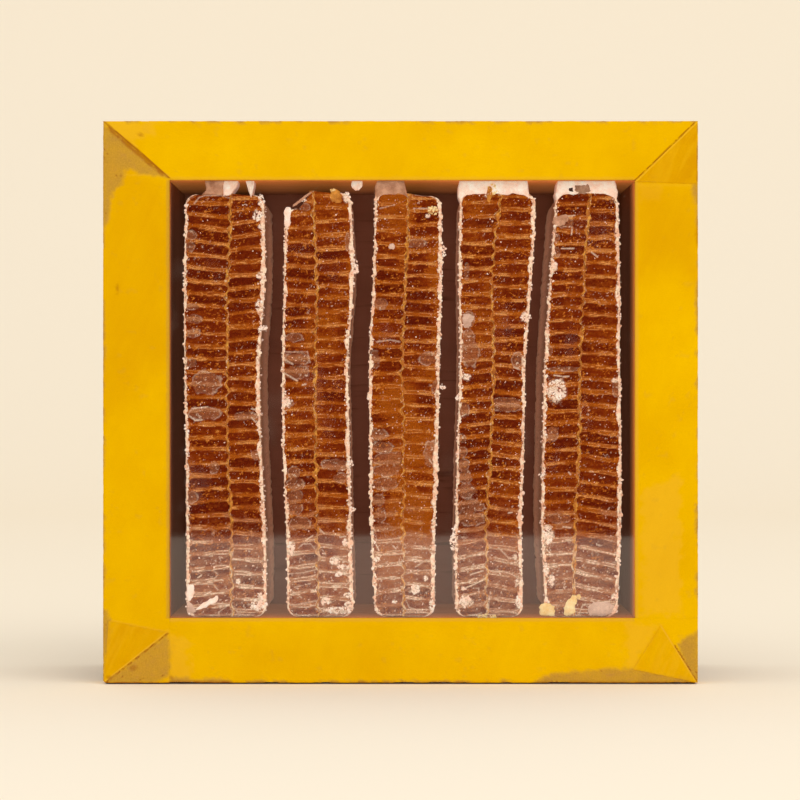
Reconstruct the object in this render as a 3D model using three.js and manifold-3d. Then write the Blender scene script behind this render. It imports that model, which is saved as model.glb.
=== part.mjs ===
// Glazed honeycomb case: five upright slabs of capped comb in a shallow wooden box, shut by a pane
// of glass that is taped on all round with folded yellow paper.
// Millimetres, +Z up, the glass faces -Y, and the origin is under the middle of the case.
import * as THREE from 'three';
import Module from 'manifold-3d';
import { mergeVertices } from 'three/addons/utils/BufferGeometryUtils.js';

const wasm = await Module();
wasm.setup();

// The case outside, and the window inside the four borders.
const CASE_WIDTH = 223;
const CASE_DEPTH = 84;
const CASE_HEIGHT = 211;
const WINDOW_LEFT = -86.5;
const WINDOW_RIGHT = 87.75;
const WINDOW_BOTTOM = 24.75;
const WINDOW_TOP = 188.75;
const HALF_WIDTH = CASE_WIDTH / 2;
const FRONT = -CASE_DEPTH / 2;
const BACK = CASE_DEPTH / 2;

// The layers behind each other, and the seam left between two pieces that meet.
const SEAM = 0.25;
const FLAP_THICKNESS = 0.5;
const TAPE_THICKNESS = 0.75;
const GLASS_THICKNESS = 2;
const BACK_THICKNESS = 5;
const TAPE_FRONT = FRONT + FLAP_THICKNESS + SEAM;
const TAPE_BACK = TAPE_FRONT + TAPE_THICKNESS;
const GLASS_FRONT = TAPE_BACK + SEAM;
const GLASS_BACK = GLASS_FRONT + GLASS_THICKNESS;
const BOX_FRONT = GLASS_BACK + SEAM;
const BOX_BACK = BACK - BACK_THICKNESS - SEAM;
const WOOD_INSET = TAPE_THICKNESS + SEAM;
const WOOD_HALF = HALF_WIDTH - WOOD_INSET;
const WOOD_TOP = CASE_HEIGHT - WOOD_INSET;
const TAPE_RETURN = 12;
const TAPE_FOOT = 0.5;

// The combs: where they stand, and how a cell row is built.
const COMB_FRONT = GLASS_BACK + SEAM;
const COMB_BACK = BOX_BACK - 3.75;
const COMB_BOTTOM = WINDOW_BOTTOM + SEAM;
const CELL_ROW = 4.85;
const ROW_JITTER = 0.08;
const CELL_TROUGH = 1.1;
const TROUGH_START = 0.28;
const TROUGH_END = 0.74;
const EVEN_FOOT_ROWS = 2;
const EVEN_HEAD_ROWS = 3;
const HEAD_ROW = 0.4;
const MIDRIB_THICKNESS = 0.9;
const MIDRIB_ZIGZAG = 0.55;
const CAP_THICKNESS = 1.9;
const CAP_CRUMBS = 0.45;
const CAP_STEP = 2.6;
const COMB_GAP = 0.3;
const CORNER_RADIUS = 4;
const CORNER_SHARES = [0, 0.14, 0.45];
const CLEAR_MARGIN = 1.6;

// Each comb, front view: its left face, midrib and right face at evenly spaced heights from the
// bottom up, the height of its top at the left face, midrib and right face, and how far its cell
// walls lean up (positive) or down from the midrib outwards, in degrees, at the bottom and the top.
const COMBS = [
  {
    left: [-80.4, -80.4, -80.6, -81.2, -81.3, -80.7],
    middle: [-63.4, -63.6, -64.9, -65.1, -64.9, -63.7],
    right: [-50.4, -50.7, -52.3, -52.8, -51, -51.2],
    tops: [183.6, 184.2, 183.4],
    lean: { left: [-7, 7], right: [-6, 8] },
  },
  {
    left: [-42.5, -42.9, -44.2, -44.4, -43.8, -43.3],
    middle: [-30.6, -31.3, -31.9, -32.1, -31.5, -32.8],
    right: [-17.6, -18.5, -19.1, -19.7, -17.6, -18.7],
    tops: [178.2, 185.2, 184.2],
    lean: { left: [-7, 4], right: [-5, 3] },
  },
  {
    left: [-9.6, -11.1, -11.5, -11.8, -10.3, -9.6],
    middle: [1.3, 1, 1.1, 0.5, 1.7, 3.2],
    right: [12.8, 13, 14.1, 14.7, 15.5, 15.3],
    tops: [184.4, 184.2, 183],
    lean: { left: [-6, 3], right: [-7, 1] },
  },
  {
    left: [20.6, 20.6, 21.3, 22.3, 21.9, 22.3],
    middle: [32.2, 32.2, 33.8, 35, 34.5, 37.3],
    right: [45.9, 45.5, 46.4, 47, 49.3, 50.8],
    tops: [184, 184.8, 184],
    lean: { left: [-12, 1], right: [-9, 1] },
  },
  {
    left: [54.5, 53, 53.4, 54.2, 56.2, 58.3],
    middle: [64.9, 65.4, 66.9, 67.5, 68.8, 71.1],
    right: [81.5, 82.8, 82.9, 82.4, 82.4, 81.6],
    tops: [184, 184.4, 184],
    lean: { left: [-3, 1], right: [-12, 0] },
  },
];

// Lumps of burr wax between a comb and the top board: the sides and the foot of each in the front
// view, and how far its sides draw in (positive) or bulge out at the waist.
const BURR_TOP = WINDOW_TOP - SEAM;
const BURR_DEPTH = 16;
const BURR_WAIST = 0.4;
const BURR_TAPER = 0.07;
const BURR_WAX = [
  { name: 'burr_wax_1a', left: -73.4, right: -66.6, foot: 184.9, waist: 0.6 },
  { name: 'burr_wax_1b', left: -66.3, right: -62.6, foot: 184.9, waist: 0.8 },
  { name: 'burr_wax_1c', left: -58, right: -54.9, foot: 184.7, waist: 1 },
  { name: 'burr_wax_3', left: -9.4, right: 1.9, foot: 184.9, waist: -0.4 },
  { name: 'burr_wax_4', left: 22.3, right: 48.6, foot: 185.4, waist: -0.6 },
  { name: 'burr_wax_5', left: 58.8, right: 81, foot: 184.9, waist: 0.3 },
];
const DROP = { left: -18.3, right: -14.4, foot: 185.4, depth: 4 };

// Corner flaps of the folded tape, front view, as [x, z].
const FLAPS = {
  flap_top_right: [[111, 210.4], [88, 188.2], [110.8, 187.6]],
  flap_bottom_left: [[-110.9, 0.7], [-87.4, 19.3], [-109.2, 23.6]],
  flap_bottom_right: [[110.8, 0.8], [97.6, 22], [87, 5.6]],
};

const MATERIALS = {
  paper: { color: 0xe8ae04, roughness: 0.7 },
  flap: { color: 0xdd9c08, roughness: 0.7 },
  wood: { color: 0x5a3420, roughness: 0.75 },
  glass: { color: 0xdfe6e2, roughness: 0.04, transparent: true, opacity: 0.25 },
  honey: { color: 0x6a2405, roughness: 0.3 },
  midrib: { color: 0xb0722a, roughness: 0.55 },
  wax: { color: 0xe3c8ae, roughness: 0.7 },
};

const group = new THREE.Group();

function add(name, geometry, kind) {
  const material = new THREE.MeshStandardMaterial({ metalness: 0, ...MATERIALS[kind] });
  const mesh = new THREE.Mesh(geometry, material);
  mesh.name = name;
  group.add(mesh);
}

// A fixed sequence of draws between -1 and 1, the same on every run.
function makeDraws(seed) {
  let state = seed;
  return () => {
    state = (state * 16807) % 2147483647;
    return (2 * state) / 2147483647 - 1;
  };
}

// The value at a share of the way (0 to 1) along evenly spaced values, rounded between them.
function along(values, share) {
  const place = Math.min(Math.max(share, 0), 1) * (values.length - 1);
  const index = Math.min(Math.floor(place), values.length - 2);
  const at = (i) => values[Math.min(Math.max(i, 0), values.length - 1)];
  const t = place - index;
  const slopeA = (at(index + 1) - at(index - 1)) / 2;
  const slopeB = (at(index + 2) - at(index)) / 2;
  const rise = at(index + 1) - at(index);
  return at(index) + t * slopeA + t * t * (3 * rise - 2 * slopeA - slopeB)
    + t * t * t * (slopeA + slopeB - 2 * rise);
}

function box(x0, x1, y0, y1, z0, z1) {
  const geometry = new THREE.BoxGeometry(x1 - x0, y1 - y0, z1 - z0);
  geometry.translate((x0 + x1) / 2, (y0 + y1) / 2, (z0 + z1) / 2);
  return geometry;
}

// A flat outline of [x, z] points drawn in the front view, made into a plate from y0 to y1.
function plate(outline, y0, y1) {
  const shape = new THREE.Shape(outline.map(([x, z]) => new THREE.Vector2(x, z)));
  const geometry = new THREE.ExtrudeGeometry(shape, { depth: y1 - y0, bevelEnabled: false });
  geometry.rotateX(Math.PI / 2);
  geometry.translate(0, y1, 0);
  return geometry;
}

function toSolid(geometry) {
  const bare = geometry.clone();
  bare.deleteAttribute('normal');
  bare.deleteAttribute('uv');
  const merged = mergeVertices(bare, 1e-4);
  const triVerts = new Uint32Array(merged.index.array);
  const vertProperties = merged.attributes.position.array;
  return new wasm.Manifold(new wasm.Mesh({ numProp: 3, vertProperties, triVerts }));
}

// Two pieces of one folded sheet joined into one solid.
function join(a, b) {
  const mesh = toSolid(a).add(toSolid(b)).getMesh();
  const geometry = new THREE.BufferGeometry();
  geometry.setAttribute('position', new THREE.BufferAttribute(mesh.vertProperties, 3));
  geometry.setIndex(new THREE.BufferAttribute(mesh.triVerts, 1));
  geometry.computeVertexNormals();
  return geometry;
}

// A slab between a left and a right edge. Its front is given at every station from the bottom up
// and its back at every few of them, as { left: [x, y, z], right: [x, y, z] }.
function slab(front, back) {
  const step = (front.length - 1) / (back.length - 1);
  const points = [];
  const put = (point) => points.push(point) - 1;
  const frontIds = front.map((s) => ({ left: put(s.left), right: put(s.right) }));
  const backIds = back.map((s) => ({ left: put(s.left), right: put(s.right) }));
  const faces = [];
  const quad = (a, b, c, d) => faces.push([a, b, c], [a, c, d]);
  for (let i = 0; i + 1 < front.length; i += 1) {
    const [low, high] = [frontIds[i], frontIds[i + 1]];
    quad(low.left, low.right, high.right, high.left);
    const behind = backIds[Math.floor(i / step)];
    faces.push([behind.left, low.left, high.left], [behind.right, high.right, low.right]);
  }
  for (let i = 0; i + 1 < back.length; i += 1) {
    const [low, high] = [backIds[i], backIds[i + 1]];
    quad(low.right, low.left, high.left, high.right);
    const ahead = frontIds[(i + 1) * step];
    faces.push([low.left, ahead.left, high.left], [low.right, high.right, ahead.right]);
  }
  const [foot, footBehind] = [frontIds[0], backIds[0]];
  const [head, headBehind] = [frontIds.at(-1), backIds.at(-1)];
  quad(foot.right, foot.left, footBehind.left, footBehind.right);
  quad(head.left, head.right, headBehind.right, headBehind.left);
  const geometry = new THREE.BufferGeometry();
  geometry.setAttribute('position', new THREE.Float32BufferAttribute(points.flat(), 3));
  geometry.setIndex(faces.flat());
  geometry.computeVertexNormals();
  return geometry;
}

function makeBox() {
  add('board_bottom', box(-WOOD_HALF, WOOD_HALF, BOX_FRONT, BOX_BACK, 0, WINDOW_BOTTOM), 'wood');
  add('board_top', box(-WOOD_HALF, WOOD_HALF, BOX_FRONT, BOX_BACK, WINDOW_TOP, WOOD_TOP), 'wood');
  const low = WINDOW_BOTTOM + SEAM;
  const high = WINDOW_TOP - SEAM;
  add('board_left', box(-WOOD_HALF, WINDOW_LEFT, BOX_FRONT, BOX_BACK, low, high), 'wood');
  add('board_right', box(WINDOW_RIGHT, WOOD_HALF, BOX_FRONT, BOX_BACK, low, high), 'wood');
  add('back_panel', box(-WOOD_HALF, WOOD_HALF, BACK - BACK_THICKNESS, BACK, 0, WOOD_TOP), 'wood');
  const side = WOOD_HALF - SEAM;
  add('glass', box(-side, side, GLASS_FRONT, GLASS_BACK, TAPE_FOOT, WOOD_TOP - SEAM), 'glass');
}

// Paper strips over the front edges. Three of them wrap round onto the sides and the top, and they
// meet the top one in mitres. The left one runs down to the foot, and the bottom one starts at it.
function makeTape() {
  const returnBack = TAPE_FRONT + TAPE_RETURN;
  const outer = HALF_WIDTH;
  const inner = outer - TAPE_THICKNESS;
  const topInner = CASE_HEIGHT - TAPE_THICKNESS;
  const topStrip = [
    [-outer, CASE_HEIGHT],
    [WINDOW_LEFT + SEAM, WINDOW_TOP],
    [WINDOW_RIGHT - SEAM, WINDOW_TOP],
    [outer, CASE_HEIGHT],
  ];
  const topReturn = box(-outer, outer, TAPE_FRONT, returnBack, topInner, CASE_HEIGHT);
  add('tape_top', join(plate(topStrip, TAPE_FRONT, TAPE_BACK), topReturn), 'paper');

  const sideTop = topInner - SEAM;
  const mitre = (x, innerX) => {
    const share = (CASE_HEIGHT - SEAM - sideTop) / (CASE_HEIGHT - WINDOW_TOP);
    return x + share * (innerX - x);
  };
  const leftStrip = [
    [-outer, TAPE_FOOT],
    [WINDOW_LEFT, TAPE_FOOT],
    [WINDOW_LEFT, WINDOW_TOP - SEAM],
    [mitre(-outer, WINDOW_LEFT), sideTop],
    [-outer, sideTop],
  ];
  const leftReturn = box(-outer, -inner, TAPE_FRONT, returnBack, TAPE_FOOT, sideTop);
  add('tape_left', join(plate(leftStrip, TAPE_FRONT, TAPE_BACK), leftReturn), 'paper');

  const rightFoot = WINDOW_BOTTOM + SEAM;
  const rightStrip = [
    [outer, rightFoot],
    [WINDOW_RIGHT, rightFoot],
    [WINDOW_RIGHT, WINDOW_TOP - SEAM],
    [mitre(outer, WINDOW_RIGHT), sideTop],
    [outer, sideTop],
  ];
  const rightReturn = box(inner, outer, TAPE_FRONT, returnBack, rightFoot, sideTop);
  add('tape_right', join(plate(rightStrip, TAPE_FRONT, TAPE_BACK), rightReturn), 'paper');

  const start = WINDOW_LEFT + SEAM;
  const bottomStrip = box(start, outer, TAPE_FRONT, TAPE_BACK, TAPE_FOOT, WINDOW_BOTTOM);
  const bottomReturn = box(inner, outer, TAPE_FRONT, returnBack, TAPE_FOOT, WINDOW_BOTTOM);
  add('tape_bottom', join(bottomStrip, bottomReturn), 'paper');

  for (const [name, corners] of Object.entries(FLAPS)) {
    add(name, plate(corners, FRONT, FRONT + FLAP_THICKNESS), 'flap');
  }
}

// How far a comb's face is drawn in at a height, to round the corner at its foot and its head.
function rounding(z, top) {
  const nearest = Math.max(0, Math.min(z - COMB_BOTTOM, top - z, CORNER_RADIUS));
  const rest = CORNER_RADIUS - nearest;
  return CORNER_RADIUS - Math.sqrt(CORNER_RADIUS ** 2 - rest ** 2);
}

// The outer face of a comb's capping as [x, z] points from the foot up, closer at the two corners.
function faceLine(comb, side) {
  const sign = side === 'left' ? -1 : 1;
  const top = side === 'left' ? comb.tops[0] : comb.tops[2];
  const straight = top - COMB_BOTTOM - 2 * CORNER_RADIUS;
  const count = 2 * Math.round(straight / CAP_STEP / 2);
  const corner = CORNER_SHARES.map((share) => share * CORNER_RADIUS);
  const heights = corner.map((h) => COMB_BOTTOM + h);
  for (let i = 0; i <= count; i += 1) {
    heights.push(COMB_BOTTOM + CORNER_RADIUS + (straight * i) / count);
  }
  heights.push(...corner.reverse().map((h) => top - h));
  return heights.map((z) => {
    const share = (z - COMB_BOTTOM) / (comb.tops[1] - COMB_BOTTOM);
    return [along(comb[side], share) - sign * rounding(z, top), z];
  });
}

function lineX(line, height) {
  const z = Math.min(Math.max(height, line[0][1]), line.at(-1)[1]);
  const next = Math.max(1, line.findIndex((point) => point[1] >= z));
  const [[x0, z0], [x1, z1]] = [line[next - 1], line[next]];
  return x0 + ((x1 - x0) * (z - z0)) / (z1 - z0);
}

// The furthest in that the line comes at a height or within a margin above and below it.
function innermostX(line, z, side) {
  const xs = [z - CLEAR_MARGIN, z, z + CLEAR_MARGIN].map((height) => lineX(line, height));
  return side === 'left' ? Math.max(...xs) : Math.min(...xs);
}

// Heights of the cell walls along the midrib, from the bottom to the top.
function wallHeights(top, draw) {
  const count = Math.round((top - COMB_BOTTOM) / CELL_ROW);
  const pitch = (top - COMB_BOTTOM) / count;
  const heights = [COMB_BOTTOM];
  for (let i = 1; i < count; i += 1) {
    heights.push(COMB_BOTTOM + pitch * (i + ROW_JITTER * draw()));
  }
  return [...heights, top];
}

// The walls of the other side stand half a row higher, because the cells are offset at the midrib.
function offsetHeights(heights) {
  const middles = heights.slice(1).map((z, i) => (z + heights[i]) / 2);
  return [heights[0], ...middles, heights.at(-1)];
}

// One side of a comb, full of cells that run from the midrib to the capping. The cut front has a
// ridge at each cell wall and a trough along each cell. The walls are level at the foot and the head
// of the comb, and where the head slopes its rows close up towards the lower end.
function cellSide(comb, side, heights, face, draw) {
  const sign = side === 'left' ? -1 : 1;
  const innerTop = comb.tops[1];
  const outerTop = side === 'left' ? comb.tops[0] : comb.tops[2];
  const share = (z) => (z - COMB_BOTTOM) / (innerTop - COMB_BOTTOM);
  const midribX = (z) => along(comb.middle, share(z));
  const coreEdge = MIDRIB_THICKNESS / 2 + COMB_GAP;
  const capEdge = CAP_THICKNESS + COMB_GAP;
  const last = heights.length - 1;

  const station = (row, fraction, y) => {
    const whole = Math.min(row + fraction, last);
    const index = Math.min(Math.floor(whole), last - 1);
    const z = heights[index] + (whole - index) * (heights[index + 1] - heights[index]);
    const zigzag = 1 - 4 * Math.min(fraction, 1 - fraction);
    const innerX = midribX(z) + sign * (coreEdge + MIDRIB_ZIGZAG * zigzag);
    const ease = Math.min(1, whole / EVEN_FOOT_ROWS, (last - whole) / EVEN_HEAD_ROWS);
    const lean = THREE.MathUtils.degToRad(THREE.MathUtils.lerp(...comb.lean[side], share(z)));
    const reach = Math.abs(lineX(face, z) - innerX);
    const fit = whole === last ? outerTop : Math.min(z, outerTop - HEAD_ROW * (last - whole));
    const outerZ = fit + ease * reach * Math.tan(lean);
    const outerX = innermostX(face, outerZ, side) - sign * capEdge;
    const inner = [innerX, y, z];
    const outer = [outerX, y, outerZ];
    return sign < 0 ? { left: outer, right: inner } : { left: inner, right: outer };
  };

  const front = [];
  const back = [];
  for (let row = 0; row < last; row += 1) {
    const trough = COMB_FRONT + CELL_TROUGH * (1 + 0.3 * draw());
    front.push(station(row, 0, COMB_FRONT));
    front.push(station(row, TROUGH_START, trough));
    front.push(station(row, TROUGH_END, trough));
    back.push(station(row, 0, COMB_BACK));
  }
  front.push(station(last, 0, COMB_FRONT));
  back.push(station(last, 0, COMB_BACK));
  return slab(front, back);
}

// The wall of wax between the two sides, bent to and fro by the cell bottoms at its cut edge.
function midrib(comb, leftHeights, rightHeights) {
  const walls = leftHeights.map((z) => ({ z, bend: -1 }));
  const between = rightHeights.slice(1, -1).map((z) => ({ z, bend: 1 }));
  const stations = [...walls, ...between].sort((a, b) => a.z - b.z);
  const top = comb.tops[1];
  const place = ({ z, bend }, y) => {
    const middle = along(comb.middle, (z - COMB_BOTTOM) / (top - COMB_BOTTOM));
    const x = middle + bend * MIDRIB_ZIGZAG;
    const half = MIDRIB_THICKNESS / 2;
    return { left: [x - half, y, z], right: [x + half, y, z] };
  };
  const front = stations.map((s) => place(s, COMB_FRONT));
  const back = stations.filter((s, i) => i % 2 === 0).map((s) => place({ ...s, bend: 0 }, COMB_BACK));
  return slab(front, back);
}

// The capping that closes the cells of one side: a wax skin with a crumbly cut edge.
function capping(side, face, draw) {
  const sign = side === 'left' ? -1 : 1;
  const place = ([x, z], y, bump) => {
    const inner = [x - sign * CAP_THICKNESS, y, z];
    const outer = [x + sign * bump, y, z];
    return sign < 0 ? { left: outer, right: inner } : { left: inner, right: outer };
  };
  const front = face.map((point) => place(point, COMB_FRONT, CAP_CRUMBS * draw()));
  const back = face.filter((point, i) => i % 2 === 0).map((point) => place(point, COMB_BACK, 0));
  return slab(front, back);
}

function makeComb(comb, number) {
  const draw = makeDraws(101 * number);
  const leftHeights = wallHeights(comb.tops[1], draw);
  const rightHeights = offsetHeights(leftHeights);
  const name = `comb_${number}`;
  add(`${name}_midrib`, midrib(comb, leftHeights, rightHeights), 'midrib');
  for (const [side, heights] of Object.entries({ left: leftHeights, right: rightHeights })) {
    const face = faceLine(comb, side);
    add(`${name}_cells_${side}`, cellSide(comb, side, heights, face, draw), 'honey');
    add(`${name}_cap_${side}`, capping(side, face, draw), 'wax');
  }
}

// A lump of wax between a comb and the top board, drawn in at its waist.
function burrOutline({ left, right, foot, waist }) {
  const waistHeight = foot + BURR_WAIST * (BURR_TOP - foot);
  const taper = BURR_TAPER * (right - left);
  return [
    [left + taper, foot],
    [right - taper, foot],
    [right - waist, waistHeight],
    [right, BURR_TOP],
    [left, BURR_TOP],
    [left + waist, waistHeight],
  ];
}

function makeBurrWax() {
  for (const lump of BURR_WAX) {
    add(lump.name, plate(burrOutline(lump), COMB_FRONT, COMB_FRONT + BURR_DEPTH), 'wax');
  }
  const radius = (DROP.right - DROP.left) / 2;
  const centre = [(DROP.right + DROP.left) / 2, DROP.foot + radius];
  const outline = [[DROP.left, BURR_TOP]];
  const sides = 10;
  for (let i = 0; i <= sides; i += 1) {
    const angle = Math.PI + (Math.PI * i) / sides;
    outline.push([centre[0] + radius * Math.cos(angle), centre[1] + radius * Math.sin(angle)]);
  }
  outline.push([DROP.right, BURR_TOP]);
  add('wax_drop', plate(outline, COMB_FRONT, COMB_FRONT + DROP.depth), 'wax');
}

makeBox();
makeTape();
COMBS.forEach((comb, index) => makeComb(comb, index + 1));
makeBurrWax();

export default group;
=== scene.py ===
import math

import bmesh
import bpy
import numpy as np
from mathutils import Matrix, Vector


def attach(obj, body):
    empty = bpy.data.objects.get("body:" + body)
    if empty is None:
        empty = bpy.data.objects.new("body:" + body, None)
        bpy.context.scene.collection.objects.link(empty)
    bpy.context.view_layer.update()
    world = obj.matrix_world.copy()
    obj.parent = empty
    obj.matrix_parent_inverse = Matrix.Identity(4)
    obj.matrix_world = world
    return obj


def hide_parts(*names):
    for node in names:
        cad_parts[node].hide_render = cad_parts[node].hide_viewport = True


# Looks of the glazed honeycomb case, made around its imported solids. The glass faces -Y.
# Every table and shape is in millimetres. A mesh is turned into metres when it is made.
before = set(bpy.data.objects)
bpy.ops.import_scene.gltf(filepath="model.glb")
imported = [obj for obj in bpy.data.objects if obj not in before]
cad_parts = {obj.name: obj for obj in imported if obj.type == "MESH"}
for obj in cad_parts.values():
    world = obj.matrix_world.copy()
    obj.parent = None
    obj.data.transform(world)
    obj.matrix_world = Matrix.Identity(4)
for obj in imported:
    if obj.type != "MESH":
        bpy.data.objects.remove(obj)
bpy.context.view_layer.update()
MM = 0.001

# The case: its outside, its window and its layers from front to back.
CASE_HALF = 111.5
CASE_TOP = 211.0
WINDOW_LEFT = -86.5
WINDOW_RIGHT = 87.75
WINDOW_BOTTOM = 24.75
WINDOW_TOP = 188.75
FLAP_FRONT = -42.0
TAPE_FRONT = -41.25
TAPE_BACK = -40.5
TAPE_RETURN_BACK = -29.25
TAPE_FOOT = 0.5
PAPER_THICKNESS = 0.7
GLASS_FRONT = -40.25
GLASS_BACK = -38.25
BOX_BACK = 36.75
# The wood inside the case starts here, and counts as inside up to this far past the clear space.
INNER_FRONT = -38.0
INNER_ROOM = 0.4

# The combs: their cut faces lie just behind the glass.
COMB_FACE = GLASS_BACK + 0.12
COMB_BACK = 33.0
COMB_BOTTOM = 25.0
CELL_ROW = 4.85
ROW_JITTER = 0.08
CORNER_RADIUS = 4.0
CAP_THICKNESS = {"left": 1.05, "right": 1.4}

# Each comb, front view: left face, midrib and right face at evenly spaced heights from the bottom
# up, its top at the three of them, how far its cell walls lean up from the midrib outwards at the
# bottom and the top, in degrees, and how amber its honey is, from 0 to 1.
COMBS = [
    {
        "left": [-80.4, -80.4, -80.6, -81.2, -81.3, -80.7],
        "middle": [-63.4, -63.6, -64.9, -65.1, -64.9, -63.7],
        "right": [-50.4, -50.7, -52.3, -52.8, -51, -51.2],
        "tops": [183.6, 184.2, 183.4],
        "lean": {"left": (-7, 7), "right": (-6, 8)},
        "amber": 0.05,
    },
    {
        "left": [-42.5, -42.9, -44.2, -44.4, -43.8, -43.3],
        "middle": [-30.6, -31.3, -31.9, -32.1, -31.5, -32.8],
        "right": [-17.6, -18.5, -19.1, -19.7, -17.6, -18.7],
        "tops": [178.2, 185.2, 184.2],
        "lean": {"left": (-7, 4), "right": (-5, 3)},
        "amber": 0.6,
    },
    {
        "left": [-9.6, -11.1, -11.5, -11.8, -10.3, -9.6],
        "middle": [1.3, 1, 1.1, 0.5, 1.7, 3.2],
        "right": [12.8, 13, 14.1, 14.7, 15.5, 15.3],
        "tops": [184.4, 184.2, 183],
        "lean": {"left": (-6, 3), "right": (-7, 1)},
        "amber": 0.95,
    },
    {
        "left": [20.6, 20.6, 21.3, 22.3, 21.9, 22.3],
        "middle": [32.2, 32.2, 33.8, 35, 34.5, 37.3],
        "right": [45.9, 45.5, 46.4, 47, 49.3, 50.8],
        "tops": [184, 184.8, 184],
        "lean": {"left": (-12, 1), "right": (-9, 1)},
        "amber": 0.5,
    },
    {
        "left": [54.5, 53, 53.4, 54.2, 56.2, 58.3],
        "middle": [64.9, 65.4, 66.9, 67.5, 68.8, 71.1],
        "right": [81.5, 82.8, 82.9, 82.4, 82.4, 81.6],
        "tops": [184, 184.4, 184],
        "lean": {"left": (-3, 1), "right": (-12, 0)},
        "amber": 0.3,
    },
]

# Air pockets between a cut face and the glass: centre x, z and half width, half height.
AIR = [
    (-78.7, 168.3, 1.9, 1.9), (-79.0, 164.2, 1.7, 1.9), (-78.4, 141.5, 2.5, 1.2),
    (-77.8, 136.8, 3.3, 1.7), (-77.8, 131.5, 2.5, 1.7), (-78.7, 120.4, 1.9, 1.7),
    (-73.1, 113.0, 5.5, 4.4), (-73.7, 101.4, 6.1, 2.5), (-58.2, 100.3, 5.0, 1.7),
    (-36.9, 178.8, 3.0, 1.4), (-40.2, 129.8, 3.3, 1.5), (-38.8, 121.8, 5.0, 2.3),
    (-39.4, 116.8, 5.1, 2.7), (-19.9, 165.8, 0.8, 3.3), (-7.3, 142.6, 2.5, 2.2),
    (-9.5, 121.5, 1.8, 3.3), (6.2, 165.3, 3.2, 1.7), (10.2, 122.0, 3.2, 2.6), (13.4, 111.3, 1.8, 2.9),
    (24.9, 154.4, 1.0, 3.5), (25.2, 136.5, 2.6, 2.9), (25.5, 129.5, 2.3, 3.5), (26.1, 123.8, 3.5, 4.6),
    (43.7, 121.4, 2.0, 2.8), (40.2, 106.1, 5.2, 1.2), (62.2, 172.9, 3.2, 2.0), (58.4, 167.1, 1.2, 1.7),
    (58.7, 161.9, 1.2, 2.0), (55.8, 124.9, 1.2, 1.8), (61.3, 118.0, 6.4, 0.8), (81.2, 110.5, 1.7, 2.6),
    (79.8, 181.5, 1.2, 1.3), (-70.1, 80.9, 2.1, 2.1), (-54.3, 85.9, 1.7, 1.9), (-78.7, 69.9, 2.5, 2.3),
    (-39.9, 79.0, 2.2, 2.5), (-39.4, 74.9, 3.3, 2.2), (-39.7, 70.4, 3.3, 2.5), (-39.9, 65.7, 3.3, 2.2),
    (-37.7, 59.9, 4.2, 2.5), (-25.0, 82.1, 5.0, 2.1), (-22.8, 77.1, 2.8, 1.9), (-8.9, 93.4, 3.6, 2.5),
    (-7.0, 88.7, 4.7, 2.2), (-5.1, 84.3, 5.3, 2.3), (-5.1, 79.8, 5.3, 2.3), (-5.6, 74.9, 5.0, 2.5),
    (-8.4, 68.8, 2.5, 2.3), (-7.8, 63.0, 2.5, 2.7), (-6.7, 58.5, 3.3, 1.8), (-0.8, 83.3, 1.7, 3.5),
    (11.4, 86.2, 2.6, 5.2), (23.5, 102.9, 2.3, 2.9), (22.9, 92.0, 1.7, 1.7), (23.2, 86.8, 1.7, 2.1),
    (23.5, 82.1, 2.1, 2.4), (24.1, 77.5, 2.7, 2.4), (24.6, 72.3, 3.8, 2.7), (26.4, 66.6, 5.0, 2.4),
    (26.4, 61.9, 5.3, 2.6), (40.2, 103.5, 5.2, 1.5), (57.0, 93.7, 2.6, 2.6), (59.3, 61.9, 5.2, 1.7),
]

# Glints on the edges of air pockets, as short strokes: x, z to x, z.
GLINTS = [
    (-78.1, 103.2, -72.5, 103.8), (-79.2, 100.3, -77.0, 98.7), (-77.3, 98.7, -74.5, 98.9),
    (-56.0, 103.1, -54.6, 102.8), (-56.0, 99.8, -54.3, 98.1), (-43.5, 121.7, -40.4, 119.8),
    (-43.8, 116.6, -41.0, 114.9), (-41.0, 114.9, -38.7, 113.6), (-35.8, 115.7, -35.0, 115.5),
    (-36.9, 112.0, -35.5, 112.4), (-50.4, 178.8, -51.6, 176.3), (42.6, 118.7, 44.6, 117.9),
    (59.9, 175.0, 65.4, 175.7), (64.4, 170.8, 64.2, 168.5), (60.5, 163.3, 65.1, 163.3),
    (57.6, 115.7, 60.5, 115.3), (61.0, 115.1, 63.2, 115.3), (71.7, 161.9, 74.0, 160.1),
    (48.3, 172.9, 49.6, 172.2), (-35.5, 53.8, -33.0, 55.4), (-30.8, 58.3, -28.6, 56.2),
    (-22.2, 54.9, -20.6, 55.2), (-9.2, 52.2, -8.1, 49.8), (-2.8, 51.6, -1.7, 50.5),
    (10.8, 84.2, 11.8, 82.6), (22.9, 100.3, 24.6, 101.1), (40.5, 64.0, 41.9, 64.2),
    (26.4, 40.9, 31.0, 42.3), (24.6, 35.9, 31.0, 38.7), (54.7, 50.4, 57.0, 48.1),
    (58.7, 48.2, 64.5, 48.8), (54.1, 59.2, 57.0, 58.7), (61.0, 58.8, 63.9, 58.4),
    (73.7, 52.1, 74.9, 51.7), (-73.7, 33.3, -71.2, 34.5), (-76.2, 39.7, -74.8, 40.5),
    (63.1, 79.3, 63.9, 78.4),
]

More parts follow.
